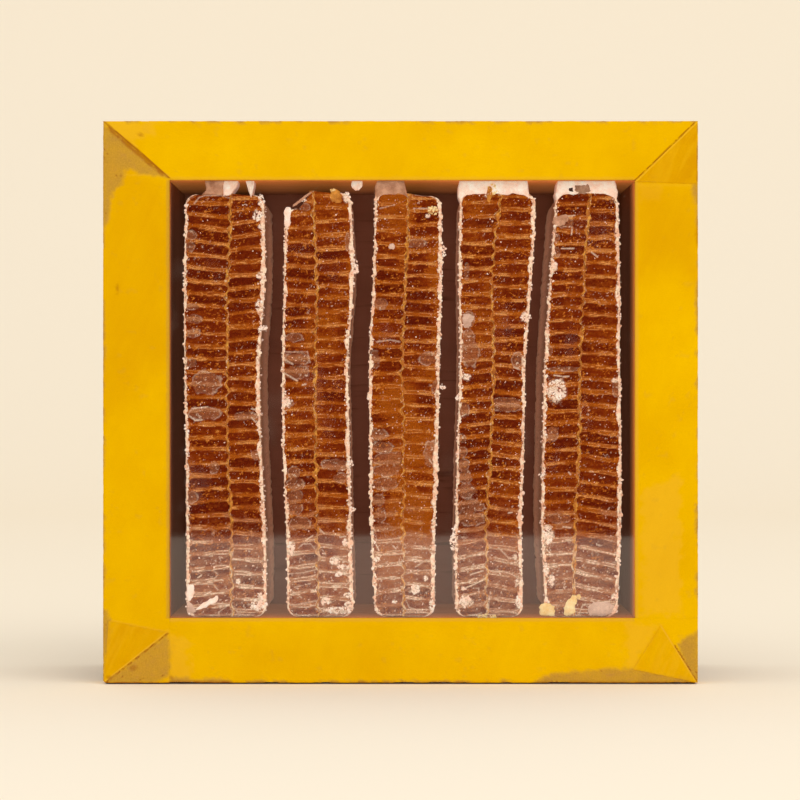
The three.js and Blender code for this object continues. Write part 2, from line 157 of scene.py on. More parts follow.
# Pale wax edges of cells and cuts, as lines: x, z to x, z.
WAX_LINES = [
    (-40.5, 48.8, -32.7, 48.8), (-38.3, 50.8, -36.6, 52.4), (-36.6, 52.4, -33.8, 52.4),
    (-33.8, 52.4, -32.2, 50.5), (-42.7, 41.1, -37.2, 41.4), (-37.2, 41.4, -31.6, 42.8),
    (-39.9, 36.1, -33.8, 37.5), (-41.0, 35.0, -37.2, 32.2), (-8.4, 48.3, -2.3, 48.3),
    (-78.1, 41.9, -70.4, 42.5), (-70.4, 42.5, -68.4, 40.8), (-68.4, 40.8, -70.4, 38.9),
    (-78.1, 37.2, -70.4, 37.3), (-70.4, 37.3, -68.4, 35.0), (-77.6, 26.7, -74.2, 29.2),
    (-74.2, 29.2, -68.4, 30.3), (-68.4, 26.7, -64.8, 29.2), (-64.8, 29.2, -62.3, 28.9),
    (-62.3, 28.9, -60.4, 25.0), (-68.4, 26.7, -67.9, 24.5), (-39.4, 29.5, -31.1, 31.1),
    (-42.1, 29.5, -39.4, 29.5), (36.8, 51.0, 40.2, 47.5), (40.2, 47.5, 43.7, 46.3),
    (35.6, 42.6, 40.2, 41.7), (40.2, 41.7, 45.4, 39.1), (-0.2, 48.7, 3.3, 49.5), (5.6, 43.7, 9.1, 46.1),
    (9.1, 46.1, 11.9, 46.6), (1.0, 40.6, 5.6, 42.3), (5.6, 42.3, 11.9, 42.6), (1.0, 33.6, 3.3, 28.4),
    (3.3, 28.4, 11.4, 26.1), (33.3, 31.9, 33.0, 27.3), (26.4, 25.5, 30.4, 26.4),
    (33.3, 27.3, 39.7, 27.0), (39.7, 27.0, 44.9, 26.1), (68.5, 29.6, 80.7, 29.9),
    (68.5, 29.6, 66.8, 25.5), (-8.9, 128.2, -4.0, 129.0), (-4.0, 129.0, -0.2, 128.2),
    (-40.8, 178.4, -36.9, 181.0), (5.6, 183.5, 13.7, 182.7), (13.7, 182.7, 14.3, 179.2),
    (5.0, 178.3, 13.7, 178.3), (-43.8, 124.4, -35.0, 124.5), (-35.0, 124.5, -34.1, 121.0),
    (-7.8, 178.3, -2.3, 179.7), (-77.4, 180.2, -75.6, 182.5), (-75.6, 182.5, -73.4, 183.2),
    (-73.4, 183.2, -67.6, 183.3), (-67.6, 183.3, -63.4, 182.0),
]

# White wax crumbs and crusts at the cut faces: centre x, z and half width, half height.
CRUSTS = [
    (-53.8, 175.5, 1.8, 1.8), (-52.4, 171.6, 1.2, 0.8), (-58.2, 179.7, 0.5, 0.3),
    (-52.9, 153.1, 1.1, 1.1), (-53.5, 141.5, 0.8, 2.2), (-51.6, 133.2, 1.7, 1.4),
    (-36.3, 181.6, 1.0, 0.8), (-20.3, 182.7, 1.3, 2.2), (-17.0, 156.4, 1.3, 2.9),
    (-42.7, 105.8, 2.0, 1.8), (-52.3, 181.4, 1.1, 2.4),
    (16.2, 162.2, 0.9, 2.3), (15.1, 148.0, 0.8, 1.2), (15.9, 111.3, 1.0, 1.2), (47.2, 137.6, 2.0, 1.6),
    (24.6, 115.1, 1.6, 1.0), (21.5, 107.6, 0.8, 1.4), (57.9, 156.7, 1.0, 1.7), (58.7, 109.9, 3.6, 4.2),
    (80.7, 113.7, 1.3, 0.8), (32.7, 184.7, 1.7, 1.7), (10.2, 175.5, 0.9, 0.6),
    (-53.8, 29.5, 2.9, 1.9), (-52.7, 32.2, 0.9, 2.2), (-41.3, 50.5, 1.5, 2.5),
    (-24.7, 46.1, 1.9, 1.5), (-21.4, 43.6, 2.1, 0.9), (-23.3, 41.1, 1.0, 1.1), (-20.0, 33.1, 1.3, 1.0),
    (-28.3, 30.9, 1.7, 1.4), (-23.3, 27.5, 5.1, 1.4), (-19.7, 29.7, 1.2, 1.2), (-8.9, 46.6, 1.0, 1.0),
    (-2.3, 30.6, 1.0, 0.7), (-17.8, 65.3, 1.2, 0.8), (-18.9, 82.6, 1.3, 1.3), (-20.8, 53.0, 1.0, 1.1),
    (-61.0, 38.3, 0.8, 0.9), (5.6, 35.4, 1.7, 1.8), (9.3, 39.4, 0.9, 0.9), (11.7, 29.0, 1.0, 2.3),
    (19.7, 53.0, 1.2, 3.0), (20.0, 57.3, 0.9, 1.7), (20.5, 44.0, 0.9, 1.4), (24.4, 30.7, 2.5, 2.2),
    (23.8, 35.5, 1.0, 0.8), (44.3, 30.7, 1.0, 2.3), (43.1, 47.5, 0.7, 1.0), (43.7, 37.7, 0.9, 0.9),
    (55.3, 55.6, 2.0, 3.5), (56.7, 38.3, 1.2, 2.3), (54.7, 42.9, 0.9, 2.3), (80.4, 32.5, 1.3, 0.9),
    (52.9, 78.4, 1.2, 0.9),
]

# Yellow wax crumbs, as the white ones.
CREAMS = [
    (33.0, 25.0, 4.0, 0.8), (66.8, 32.4, 0.9, 1.0), (-25.5, 185.4, 1.2, 0.6),
    (12.2, 177.5, 2.0, 1.5), (34.5, 185.6, 1.8, 2.0),
]

# Smooth patches of wax at the cut faces, and one dark patch painted as the shade in a hole: four corners
# of x, z in turn, and the tint.
PATCHES = [
    (((70.6, 25.2), (79.2, 25.2), (81.0, 30.8), (70.4, 30.4)), "grey"),
    (((-80.6, 31.2), (-78.0, 31.0), (-77.2, 36.4), (-80.2, 37.6)), "white"),
    (((-77.5, 26.9), (-76.6, 28.9), (-68.0, 33.6), (-68.6, 30.4)), "white"),
    (((-80.4, 25.6), (-76.4, 26.6), (-79.2, 30.8), (-80.6, 30.8)), "grey"),
    (((60.6, 25.3), (65.2, 25.3), (66.8, 33.6), (63.4, 33.0)), "yellow"),
    (((51.8, 25.3), (58.6, 25.3), (57.4, 29.6), (51.8, 30.2)), "yellow"),
    (((23.0, 133.4), (26.6, 133.2), (27.8, 138.4), (23.4, 139.4)), "grey"),
    (((-4.5, 162.9), (-2.3, 162.9), (-2.3, 165.1), (-4.5, 165.1)), "grey"),
    (((64.9, 184.0), (71.6, 183.8), (71.9, 187.2), (64.7, 187.6)), "brown"),
    # A dark patch painted as the shade inside a hole in the burr wax.
    (((63.1, 184.4), (64.9, 184.4), (64.9, 186.4), (63.1, 186.4)), "dark"),
    (((32.2, 181.0), (34.0, 180.6), (35.0, 187.0), (32.6, 187.4)), "amber"),
    (((-27.0, 181.5), (-22.2, 179.4), (-21.8, 184.2), (-25.6, 186.2)), "amber"),
    (((-40.2, 178.7), (-32.9, 184.4), (-33.3, 185.2), (-40.8, 179.4)), "tan"),
    (((-43.6, 171.5), (-41.4, 171.5), (-41.0, 178.9), (-43.8, 178.9)), "white"),
    (((57.2, 171.6), (63.0, 172.4), (62.6, 176.7), (56.8, 175.0)), "tan"),
]


def srgb(red, green, blue):
    """A colour given from 0 to 255 as it shows on a screen, as linear light with alpha."""
    shown = np.array([red, green, blue]) / 255
    light = np.where(shown <= 0.04045, shown / 12.92, ((shown + 0.055) / 1.055) ** 2.4)
    return (*[float(v) for v in light], 1.0)


def lattice(ix, iy, seed):
    """A fixed value from 0 to 1 at each whole-numbered point."""
    n = ix * 374761393 + iy * 668265263 + seed * 974634777
    n = (n ^ (n >> 13)) * 1274126177
    n = n ^ (n >> 16)
    return (n & 0xFFFF) / 65535


def noise(x, y, seed):
    """Smooth noise from 0 to 1, with features one unit across."""
    x, y = np.broadcast_arrays(np.asarray(x, float), np.asarray(y, float))
    ix = np.floor(x).astype(np.int64)
    iy = np.floor(y).astype(np.int64)
    u = x - ix
    v = y - iy
    u = u * u * (3 - 2 * u)
    v = v * v * (3 - 2 * v)
    low = lattice(ix, iy, seed) * (1 - u) + lattice(ix + 1, iy, seed) * u
    high = lattice(ix, iy + 1, seed) * (1 - u) + lattice(ix + 1, iy + 1, seed) * u
    return low * (1 - v) + high * v


def fractal(x, y, seed, octaves=3):
    """Noise from 0 to 1 with finer and weaker layers added."""
    total = 0
    weight = 0
    for k in range(octaves):
        total = total + noise(x * 2**k, y * 2**k, seed + 31 * k) / 2**k
        weight += 1 / 2**k
    return total / weight


def sway(x, y, seed, octaves=3):
    """The same noise from -0.5 to 0.5."""
    return fractal(x, y, seed, octaves) - 0.5


def ramp(low, high, value):
    """0 below low, 1 above high and an even curve between, or the other way round if low > high."""
    t = np.clip((value - low) / (high - low), 0, 1)
    return t * t * (3 - 2 * t)


def patchy(low, high, x, y, seed, octaves=3):
    """Noise as patches: 0 where it is below low and 1 where it is above high."""
    return ramp(low, high, fractal(x, y, seed, octaves))


def mix(a, b, share):
    return a + (b - a) * share


def oval_depth(x, z, ovals, ragged, seed):
    """How deep a point is inside the nearest oval: 1 at a centre, 0 at an edge, below 0 outside."""
    wobble = 1 + ragged * (fractal(x / 1.6, z / 1.6, seed) - 0.5)
    depth = np.full(np.shape(x), -1.0)
    for cx, cz, half_width, half_height in ovals:
        radius = np.hypot((x - cx) / half_width, (z - cz) / half_height)
        depth = np.maximum(depth, 1 - radius * wobble)
    return depth


def line_distance(x, z, lines):
    """The distance in millimetres to the nearest of the straight lines."""
    nearest = np.full(np.shape(x), 1e3)
    for x0, z0, x1, z1 in lines:
        dx = x1 - x0
        dz = z1 - z0
        share = np.clip(((x - x0) * dx + (z - z0) * dz) / (dx * dx + dz * dz + 1e-9), 0, 1)
        nearest = np.minimum(nearest, np.hypot(x - x0 - share * dx, z - z0 - share * dz))
    return nearest


def near_lines(x, z, lines, close, far, rough=0):
    """1 up to the distance close from the lines and 0 beyond far."""
    return 1 - ramp(close, far, line_distance(x, z, lines) + rough)


def inside(x, z, corners):
    """Signed distance in millimetres to a polygon's outline, positive inside."""
    crossings = np.zeros(np.shape(x), bool)
    closed = list(zip(corners, corners[1:] + corners[:1]))
    for (x0, z0), (x1, z1) in closed:
        if z0 != z1:
            spans = (z0 > z) != (z1 > z)
            crossings ^= spans & (x < x0 + (z - z0) / (z1 - z0) * (x1 - x0))
    distance = line_distance(x, z, [(*a, *b) for a, b in closed])
    return np.where(crossings, distance, -distance)


def inside_any(x, z, outlines):
    """The greatest of the signed distances to several polygons."""
    return np.maximum.reduce([inside(x, z, outline) for outline in outlines])


def along(values, share):
    """The value at a share of the way along evenly spaced values, rounded between them."""
    values = np.asarray(values, float)
    place = np.clip(share, 0, 1) * (len(values) - 1)
    index = np.minimum(np.floor(place).astype(int), len(values) - 2)
    t = place - index

    def at(i):
        return values[np.clip(i, 0, len(values) - 1)]

    slope_a = (at(index + 1) - at(index - 1)) / 2
    slope_b = (at(index + 2) - at(index)) / 2
    rise = at(index + 1) - at(index)
    curve = t * t * (3 * rise - 2 * slope_a - slope_b) + t**3 * (slope_a + slope_b - 2 * rise)
    return at(index) + t * slope_a + curve


# Node trees


def feed(tree, socket, value):
    """Links an output to a socket, or sets the socket to a plain value."""
    if isinstance(value, bpy.types.NodeSocket):
        tree.links.new(value, socket)
    else:
        socket.default_value = value


def add_node(tree, kind, inputs, **settings):
    made = tree.nodes.new(kind)
    for key, value in settings.items():
        setattr(made, key, value)
    for key, value in inputs.items():
        feed(tree, made.inputs[key], value)
    return made


def mix_colour(tree, share, a, b, blend="MIX"):
    settings = {"data_type": "RGBA", "blend_type": blend, "clamp_factor": True}
    return add_node(tree, "ShaderNodeMix", {0: share, 6: a, 7: b}, **settings).outputs[2]


def layered(tree, colour, *layers):
    """A colour with others laid over it in turn, each given by its share and its colour."""
    for share, layer in layers:
        colour = mix_colour(tree, share, colour, layer)
    return colour


def shaded(tree, colour, share, dark, light):
    """A colour made darker and lighter by turns."""
    shade = mix_colour(tree, share, (*dark, 1), (*light, 1))
    return mix_colour(tree, 1.0, colour, shade, "MULTIPLY")


def calculate(tree, operation, a, b=0):
    return add_node(tree, "ShaderNodeMath", {0: a, 1: b}, operation=operation).outputs[0]


def new_material(name):
    made = bpy.data.materials.new(name)
    made.use_nodes = True
    made.node_tree.nodes.clear()
    return made, made.node_tree


def place_noise(tree, scale, detail=3.0, stretch=(1, 1, 1)):
    """Noise in the row frame. scale is per metre, stretch says how much finer it is along each axis."""
    where = add_node(tree, "ShaderNodeTexCoord", {}).outputs["Object"]
    mapping = add_node(tree, "ShaderNodeMapping", {"Vector": where, "Scale": stretch})
    inputs = {"Vector": mapping.outputs[0], "Scale": scale, "Detail": detail, "Roughness": 0.6}
    return add_node(tree, "ShaderNodeTexNoise", inputs).outputs["Fac"]


def read_marks(tree):
    """The four masks painted on a mesh, as sockets."""
    marks = add_node(tree, "ShaderNodeAttribute", {}, attribute_name="marks")
    parts = add_node(tree, "ShaderNodeSeparateColor", {"Color": marks.outputs["Color"]})
    return [*parts.outputs, marks.outputs["Alpha"]]


def spread(tree, value, low, high, new_low=0, new_high=1):
    """A value's range from low to high, turned into another."""
    inputs = {0: value, 1: low, 2: high, 3: new_low, 4: new_high}
    return add_node(tree, "ShaderNodeMapRange", inputs).outputs[0]


def finish_material(tree, colour, roughness, specular, bump=None, glow=None):
    """The shader and the output. bump is its height, strength and distance in metres."""
    inputs = {"Base Color": colour, "Roughness": roughness, "Specular IOR Level": specular}
    if bump is not None:
        raised = dict(zip(("Height", "Strength", "Distance"), bump))
        inputs["Normal"] = add_node(tree, "ShaderNodeBump", raised).outputs[0]
    if glow is not None:
        inputs["Emission Color"] = glow
        inputs["Emission Strength"] = 1.0
    shader = add_node(tree, "ShaderNodeBsdfPrincipled", inputs)
    add_node(tree, "ShaderNodeOutputMaterial", {0: shader.outputs[0]})


# Materials


# The wall mark runs from honey to wall up to this value, and from there to a painted golden highlight on
# the wall's edge.
GOLD_HIGHLIGHT_FROM = 0.75
BLACK = (0, 0, 0, 1)


def honey_material():
    """Cells at the cut face. Marks: wall, ending in a painted golden highlight; air film, milky with a
    painted sheen; pale wax with painted highlights; and tone from black-brown to amber.
    """
    made, tree = new_material("honey_cells")
    wall, film, pale, tone = read_marks(tree)
    fine = place_noise(tree, 1900, 2.0, (1, 1, 1.6))
    streak = place_noise(tree, 900, stretch=(0.25, 1, 2.2))
    deep = mix_colour(tree, spread(tree, tone, 0, 0.5), srgb(94, 21, 2), srgb(128, 43, 4))
    deep = mix_colour(tree, spread(tree, tone, 0.5, 1), deep, srgb(160, 76, 8))
    colour = layered(
        tree,
        deep,
        (spread(tree, wall, 0, GOLD_HIGHLIGHT_FROM), mix_colour(tree, streak, srgb(150, 62, 7), srgb(196, 106, 24))),
        # Painted golden highlight on the edges of the cell walls.
        (spread(tree, wall, GOLD_HIGHLIGHT_FROM, 1), srgb(228, 154, 70)),
        # Milky film where the honey stands off the glass: its colour is a painted sheen of the air gap.
        (film, mix_colour(tree, streak, srgb(140, 74, 46), srgb(208, 146, 106))),
        # Pale wax, with painted highlights on rims, wall edges and glints.
        (pale, srgb(238, 210, 186)),
    )
    colour = shaded(tree, colour, spread(tree, fine, 0.32, 0.68), (0.6, 0.56, 0.5), (1.42, 1.5, 1.6))
    finish_material(tree, colour, 0.42, 0.04, (fine, 0.35, 0.0003))
    return made


def midrib_material():
    """The cut edge of the midrib. Marks: yellow, dark, pale, and tone."""
    made, tree = new_material("midrib_wax")
    yellow, dark, pale, tone = read_marks(tree)
    fine = place_noise(tree, 1400)
    colour = layered(
        tree,
        srgb(180, 92, 20),
        (tone, srgb(214, 130, 42)),
        (yellow, srgb(246, 182, 72)),
        (dark, srgb(104, 40, 6)),
        (pale, srgb(238, 208, 174)),
    )
    colour = shaded(tree, colour, fine, (0.75, 0.75, 0.75), (1.25, 1.25, 1.25))
    finish_material(tree, colour, 0.45, 0.3, (fine, 0.4, 0.0003))
    return made


def capping_material():
    """Dry capping wax. Marks: honey stain, painted shade deeper into the case, painted shade in pits, and
    tone. It has a painted glow, weaker where the shade is.
    """
    made, tree = new_material("capping_wax")
    stain, deep, pit_shade, tone = read_marks(tree)
    fine = place_noise(tree, 1300)
    colour = layered(
        tree,
        srgb(244, 192, 162),
        (tone, srgb(255, 236, 214)),
        # Painted shade on the comb's side as it goes back into its gap.
        (deep, srgb(188, 136, 102)),
        (stain, srgb(168, 104, 52)),
        (pit_shade, srgb(150, 84, 52)),
    )
    colour = shaded(tree, colour, fine, (0.86, 0.83, 0.8), (1.22, 1.2, 1.18))
    # Painted glow, stronger at the front and weaker into the gap.
    glow = mix_colour(tree, spread(tree, deep, 0, 1, 0.11, 0.045), BLACK, srgb(240, 196, 164))
    finish_material(tree, colour, 0.6, 0.2, (fine, 0.5, 0.0003), glow)
    return made


def lump_material(name, dark, light, roughness, glowing):
    """Wax in two mixed tones, with a painted glow."""
    made, tree = new_material(name)
    fine = place_noise(tree, 1100)
    broad = place_noise(tree, 260)
    colour = mix_colour(tree, spread(tree, broad, 0.35, 0.65), srgb(*dark), srgb(*light))
    colour = shaded(tree, colour, fine, (0.82, 0.82, 0.82), (1.15, 1.15, 1.15))
    # Painted glow in the wax's own colour.
    glow = mix_colour(tree, glowing, BLACK, colour)
    finish_material(tree, colour, roughness, 0.4, (fine, 0.4, 0.0003), glow)
    return made


# Burr wax, crumbs and lobes: the darker and the lighter tone, the roughness and how much painted glow it
# has.
WAXES = {
    "white": ((252, 212, 190), (255, 242, 230), 0.45, 0.16),
    "yellow": ((244, 196, 116), (255, 230, 176), 0.45, 0.1),
    "grey": ((204, 162, 142), (232, 194, 174), 0.45, 0.1),
    "tan": ((178, 120, 88), (220, 168, 138), 0.35, 0.1),
    "amber": ((176, 100, 24), (234, 160, 62), 0.35, 0.1),
    "brown": ((136, 92, 66), (196, 150, 122), 0.35, 0.1),
    # The dark tint is painted shade, for the inside of a hole.
    "dark": ((52, 28, 24), (82, 46, 36), 0.5, 0),
}


def paper_material():
    """Brushed yellow paper. Marks: ochre wear; dark lines, partly painted shadow; deep orange; and faded
    paper with painted highlights.
    """
    made, tree = new_material("yellow_paper")
    wear, dark, orange, faded = read_marks(tree)
    fibre = place_noise(tree, 1600, 4.0)
    worn = layered(
        tree,
        srgb(176, 130, 44),
        (spread(tree, fibre, 0.25, 0.75), srgb(198, 150, 56)),
        (spread(tree, place_noise(tree, 420), 0.54, 0.74, 0, 0.6), srgb(182, 130, 68)),
    )
    colour = layered(
        tree,
        srgb(226, 171, 0),
        (spread(tree, place_noise(tree, 28), 0.35, 0.65), srgb(236, 184, 0)),
        (spread(tree, place_noise(tree, 90), 0.3, 0.7, 0, 0.35), srgb(228, 174, 1)),
        (faded, srgb(232, 176, 36)),
        (orange, srgb(212, 150, 3)),
        (wear, worn),
        (dark, srgb(140, 58, 16)),
    )
    colour = shaded(tree, colour, fibre, (0.95, 0.95, 0.95), (1.05, 1.05, 1.05))
    finish_material(tree, colour, 0.8, 0.0, (fibre, 0.15, 0.0001))
    return made


def wood_material(name, stretch, near_glow, far_glow, reach, shade_darkening):
    """Stained wood with its grain along one axis. The faces that look into the case are painted lighter,
    most near the glass as painted light, and darker further back as painted shade; they also have a
    painted glow for the light that comes to them through the wax."""
    made, tree = new_material(name)
    where = add_node(tree, "ShaderNodeTexCoord", {}).outputs["Object"]
    place = add_node(tree, "ShaderNodeSeparateXYZ", {0: where}).outputs
    past = calculate(tree, "SUBTRACT", place[1], BOX_BACK * MM)
    for axis, low, high in ((0, WINDOW_LEFT, WINDOW_RIGHT), (2, WINDOW_BOTTOM, WINDOW_TOP)):
        from_middle = calculate(tree, "SUBTRACT", place[axis], (low + high) / 2 * MM)
        away = calculate(tree, "ABSOLUTE", from_middle)
        past_edge = calculate(tree, "SUBTRACT", away, (high - low) / 2 * MM)
        past = calculate(tree, "MAXIMUM", past, past_edge)
    within = calculate(tree, "LESS_THAN", past, INNER_ROOM * MM)
    pores = place_noise(tree, 380, 2.0, stretch)
    tone = spread(tree, place_noise(tree, 60, 5.0, stretch), 0.3, 0.7)
    outside = mix_colour(tree, tone, srgb(92, 52, 30), srgb(134, 84, 52))
    # Inside faces: lighter near the glass as painted light, and darker further back as painted shade.
    inner_further_back = mix_colour(tree, tone, srgb(166, 114, 102), srgb(188, 134, 120))
    inner_further_back = mix_colour(tree, shade_darkening, inner_further_back, srgb(40, 20, 14))
    lit_near_glass = mix_colour(tree, tone, srgb(212, 116, 44), srgb(226, 138, 64))
    far = spread(tree, place[1], INNER_FRONT * MM, reach * MM)
    colour = layered(
        tree,
        outside,
        (within, mix_colour(tree, far, lit_near_glass, inner_further_back)),
        (spread(tree, pores, 0.6, 0.72, 0, 0.45), srgb(62, 32, 18)),
    )
    # Painted glow on the inside faces, fading from the front to the back.
    fading_to = 2 * reach - INNER_FRONT
    fade = spread(tree, place[1], INNER_FRONT * MM, fading_to * MM, near_glow, far_glow)
    glow = mix_colour(tree, calculate(tree, "MULTIPLY", within, fade), BLACK, srgb(230, 140, 62))
    finish_material(tree, colour, 0.62, 0.3, (pores, 0.25, 0.0003), glow)
    return made


def glass_material():
    """A clear pane: light passes straight through, each side mirrors a little, and dust lies on it."""
    made, tree = new_material("pane_glass")
    clear = add_node(tree, "ShaderNodeBsdfTransparent", {"Color": (0.99, 0.985, 0.975, 1)}).outputs[0]
    mirror = add_node(tree, "ShaderNodeBsdfGlossy", {"Roughness": 0.03, "Color": (1, 1, 1, 1)}).outputs[0]
    facing = add_node(tree, "ShaderNodeLayerWeight", {"Blend": 0.5}).outputs["Facing"]
    mirrored = spread(tree, calculate(tree, "POWER", facing, 5), 0, 1, 0.04, 1)
    pane = add_node(tree, "ShaderNodeMixShader", {0: mirrored, 1: clear, 2: mirror}).outputs[0]
    dots = spread(tree, place_noise(tree, 900, 2.0), 0.72, 0.8, 0, 0.2)
    patches = spread(tree, place_noise(tree, 40, 2.0), 0.4, 0.6, 0.2, 1)
    smears = spread(tree, place_noise(tree, 55, 3.0, (1, 1, 0.6)), 0.6, 0.76, 0, 0.03)
    share = calculate(tree, "ADD", calculate(tree, "MULTIPLY", dots, patches), smears)
    dust = add_node(tree, "ShaderNodeBsdfDiffuse", {"Color": srgb(236, 224, 210)}).outputs[0]
    dusty = add_node(tree, "ShaderNodeMixShader", {0: share, 1: pane, 2: dust})
    add_node(tree, "ShaderNodeOutputMaterial", {0: dusty.outputs[0]})
    return made


# Meshes


def make_piece(name, shape, marks, material, slot, nodes):
    """A closed mesh with its faces turned outwards, standing for nodes. Its shape is points in
    millimetres, four-sided faces and other faces."""
    points, quads, ngons = shape
    faces = [*quads.tolist(), *ngons]
    if volume(points, quads, ngons) < 0:
        faces = [face[::-1] for face in faces]
    mesh = bpy.data.meshes.new(name)
    mesh.from_pydata((points * MM).tolist(), [], faces)
    mesh.polygons.foreach_set("use_smooth", np.ones(len(faces), bool))
    if marks is not None:
        colours = mesh.color_attributes.new("marks", "FLOAT_COLOR", "POINT")
        values = np.stack([np.broadcast_to(m, len(points)) for m in marks], axis=1)
        colours.data.foreach_set("color", np.clip(values, 0, 1).astype(np.float32).ravel())
    mesh.update()
    if slot == "yellow_paper":
        mesh.set_sharp_from_angle(angle=math.radians(50))
    mesh.materials.append(material)
    piece = bpy.data.objects.new(name, mesh)
    bpy.context.scene.collection.objects.link(piece)
    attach(piece, "root")
    if nodes:
        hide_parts(*nodes)


def volume(points, quads, ngons):
    """Six times the signed volume inside the faces."""
    triangles = [quads[:, [0, 1, 2]], quads[:, [0, 2, 3]]]
    for face in ngons:
        rest = np.array([[face[0], b, c] for b, c in zip(face[1:-1], face[2:])])
        triangles.append(rest)
    corners = points[np.concatenate(triangles)]
    return float(np.sum(np.cross(corners[:, 0], corners[:, 1]) * corners[:, 2]))


def shares(rows, columns):
    """Shares from 0 to 1 up a grid's rows, and across its columns."""
    return np.linspace(0, 1, rows)[:, None], np.linspace(0, 1, columns)[None, :]


def grid_quads(rows, columns, start=0):
    first = np.arange(rows * columns).reshape(rows, columns) + start
    corners = [first[:-1, :-1], first[:-1, 1:], first[1:, 1:], first[1:, :-1]]
    return np.stack([c.ravel() for c in corners], axis=1)


def border_loop(rows, columns):
    """The border of a grid as indices, counter-clockwise as seen from the front."""
    ids = np.arange(rows * columns).reshape(rows, columns)
    return np.concatenate([ids[0, :-1], ids[:-1, -1], ids[-1, :0:-1], ids[:0:-1, 0]])


def block(front, ring_depths, shift=None):
    """A block behind a front grid of points, with a ring of points at each depth and a flat back."""
    rows, columns, _ = front.shape
    points = [front.reshape(-1, 3)]
    quads = [grid_quads(rows, columns)]
    loop = border_loop(rows, columns)
    edge = front.reshape(-1, 3)[loop]
    before = loop
    count = rows * columns
    for depth in ring_depths:
        ring = edge.copy()
        ring[:, 1] = depth
        if shift is not None:
            ring = shift(ring, depth)
        ids = np.arange(len(loop)) + count
        quads.append(np.stack([before, ids, np.roll(ids, -1), np.roll(before, -1)], axis=1))
        points.append(ring)
        before = ids
        count += len(loop)
    return np.concatenate(points), np.concatenate(quads), [before[::-1].tolist()]


def with_rest(marks, count, fills):
    """Marks of the first points of a mesh, filled up to its whole count of points."""
    flat = [mark.ravel() for mark in marks]
    return [np.concatenate([mark, np.full(count - len(mark), fill)]) for mark, fill in zip(flat, fills)]


def fixed_draws(seed):
    """Draws between -1 and 1, the same on every run."""
    state = seed
    while True:
        state = (state * 16807) % 2147483647
        yield 2 * state / 2147483647 - 1


# Combs

SIGN = {"left": -1, "right": 1}
# How many points the front of each kind of piece has upwards and across.
CELL_GRID = (520, 52)
MIDRIB_GRID = (520, 9)
CAP_GRID = (620, 10)
PATCH_GRID = (24, 24)
BURR_GRID = (34, 60)
# Painted shade on the side of a comb: it turns brown between the first two depths, and paler again between
# the others.
SIDE_SHADE_FROM = (-38, -33)
SIDE_SHADE_EASES_FROM = (-30, 10)


def side_top(comb, side):
    """The height of a comb's top at its left or right face."""
    return comb["tops"][0 if side == "left" else 2]


def side_shares(rows, columns, side):
    """Shares up a grid's rows, and out from the midrib across its columns, which run left to right."""
    up, across = shares(rows, columns)
    return up, 1 - across if side == "left" else across


def wall_heights(comb, number):
    """Where the cell walls of the left side meet the midrib, and those of the right, half a row off."""
    top = comb["tops"][1]
    count = round((top - COMB_BOTTOM) / CELL_ROW)
    pitch = (top - COMB_BOTTOM) / count
    draws = fixed_draws(101 * number)
    inner = [COMB_BOTTOM + pitch * (i + ROW_JITTER * next(draws)) for i in range(1, count)]
    left = np.array([COMB_BOTTOM, *inner, top])
    right = np.array([COMB_BOTTOM, *(left[1:] + left[:-1]) / 2, top])
    return {"left": left, "right": right}


def rounding(z, top):
    """How far a comb's face is drawn in to round its corners at the foot and the head."""
    nearest = np.clip(np.minimum(z - COMB_BOTTOM, top - z), 0, CORNER_RADIUS)
    rest = CORNER_RADIUS - nearest
    return CORNER_RADIUS - np.sqrt(CORNER_RADIUS**2 - rest**2)


def comb_share(comb, z):
    return (z - COMB_BOTTOM) / (comb["tops"][1] - COMB_BOTTOM)


def face_x(comb, side, z):
    """A comb's outer face at a height, on its left or right."""
    return along(comb[side], comb_share(comb, z)) - SIGN[side] * rounding(z, side_top(comb, side))


def cap_thickness(side, z, number):
    seed = 40 * number + (side == "left")
    return CAP_THICKNESS[side] * mix(0.35, 1.55, fractal(z / 4, number, seed))


def row_place(comb, side, number, x, z, reach, seed):
    """The cell that a point lies in, its nearest wall, whether that is the upper one, and how far off."""
    top = comb["tops"][1]
    lean = np.radians(mix(*comb["lean"][side], comb_share(comb, z)))
    ease = np.clip(np.minimum((z - COMB_BOTTOM) / 9, (top - z) / 12), 0, 1)
    wave = 1.1 * sway(x / 7, z / 4, seed, 2)
    level = z - ease * reach * np.tan(lean) + ease * wave
    heights = wall_heights(comb, number)[side]
    cell = np.clip(np.searchsorted(heights, level), 1, len(heights) - 1)
    low = heights[cell - 1]
    high = heights[cell]
    place = np.clip((level - low) / (high - low), 0, 1)
    off = (0.5 - np.abs(place - 0.5)) * (high - low)
    return cell, cell - (place < 0.5), place > 0.5, off


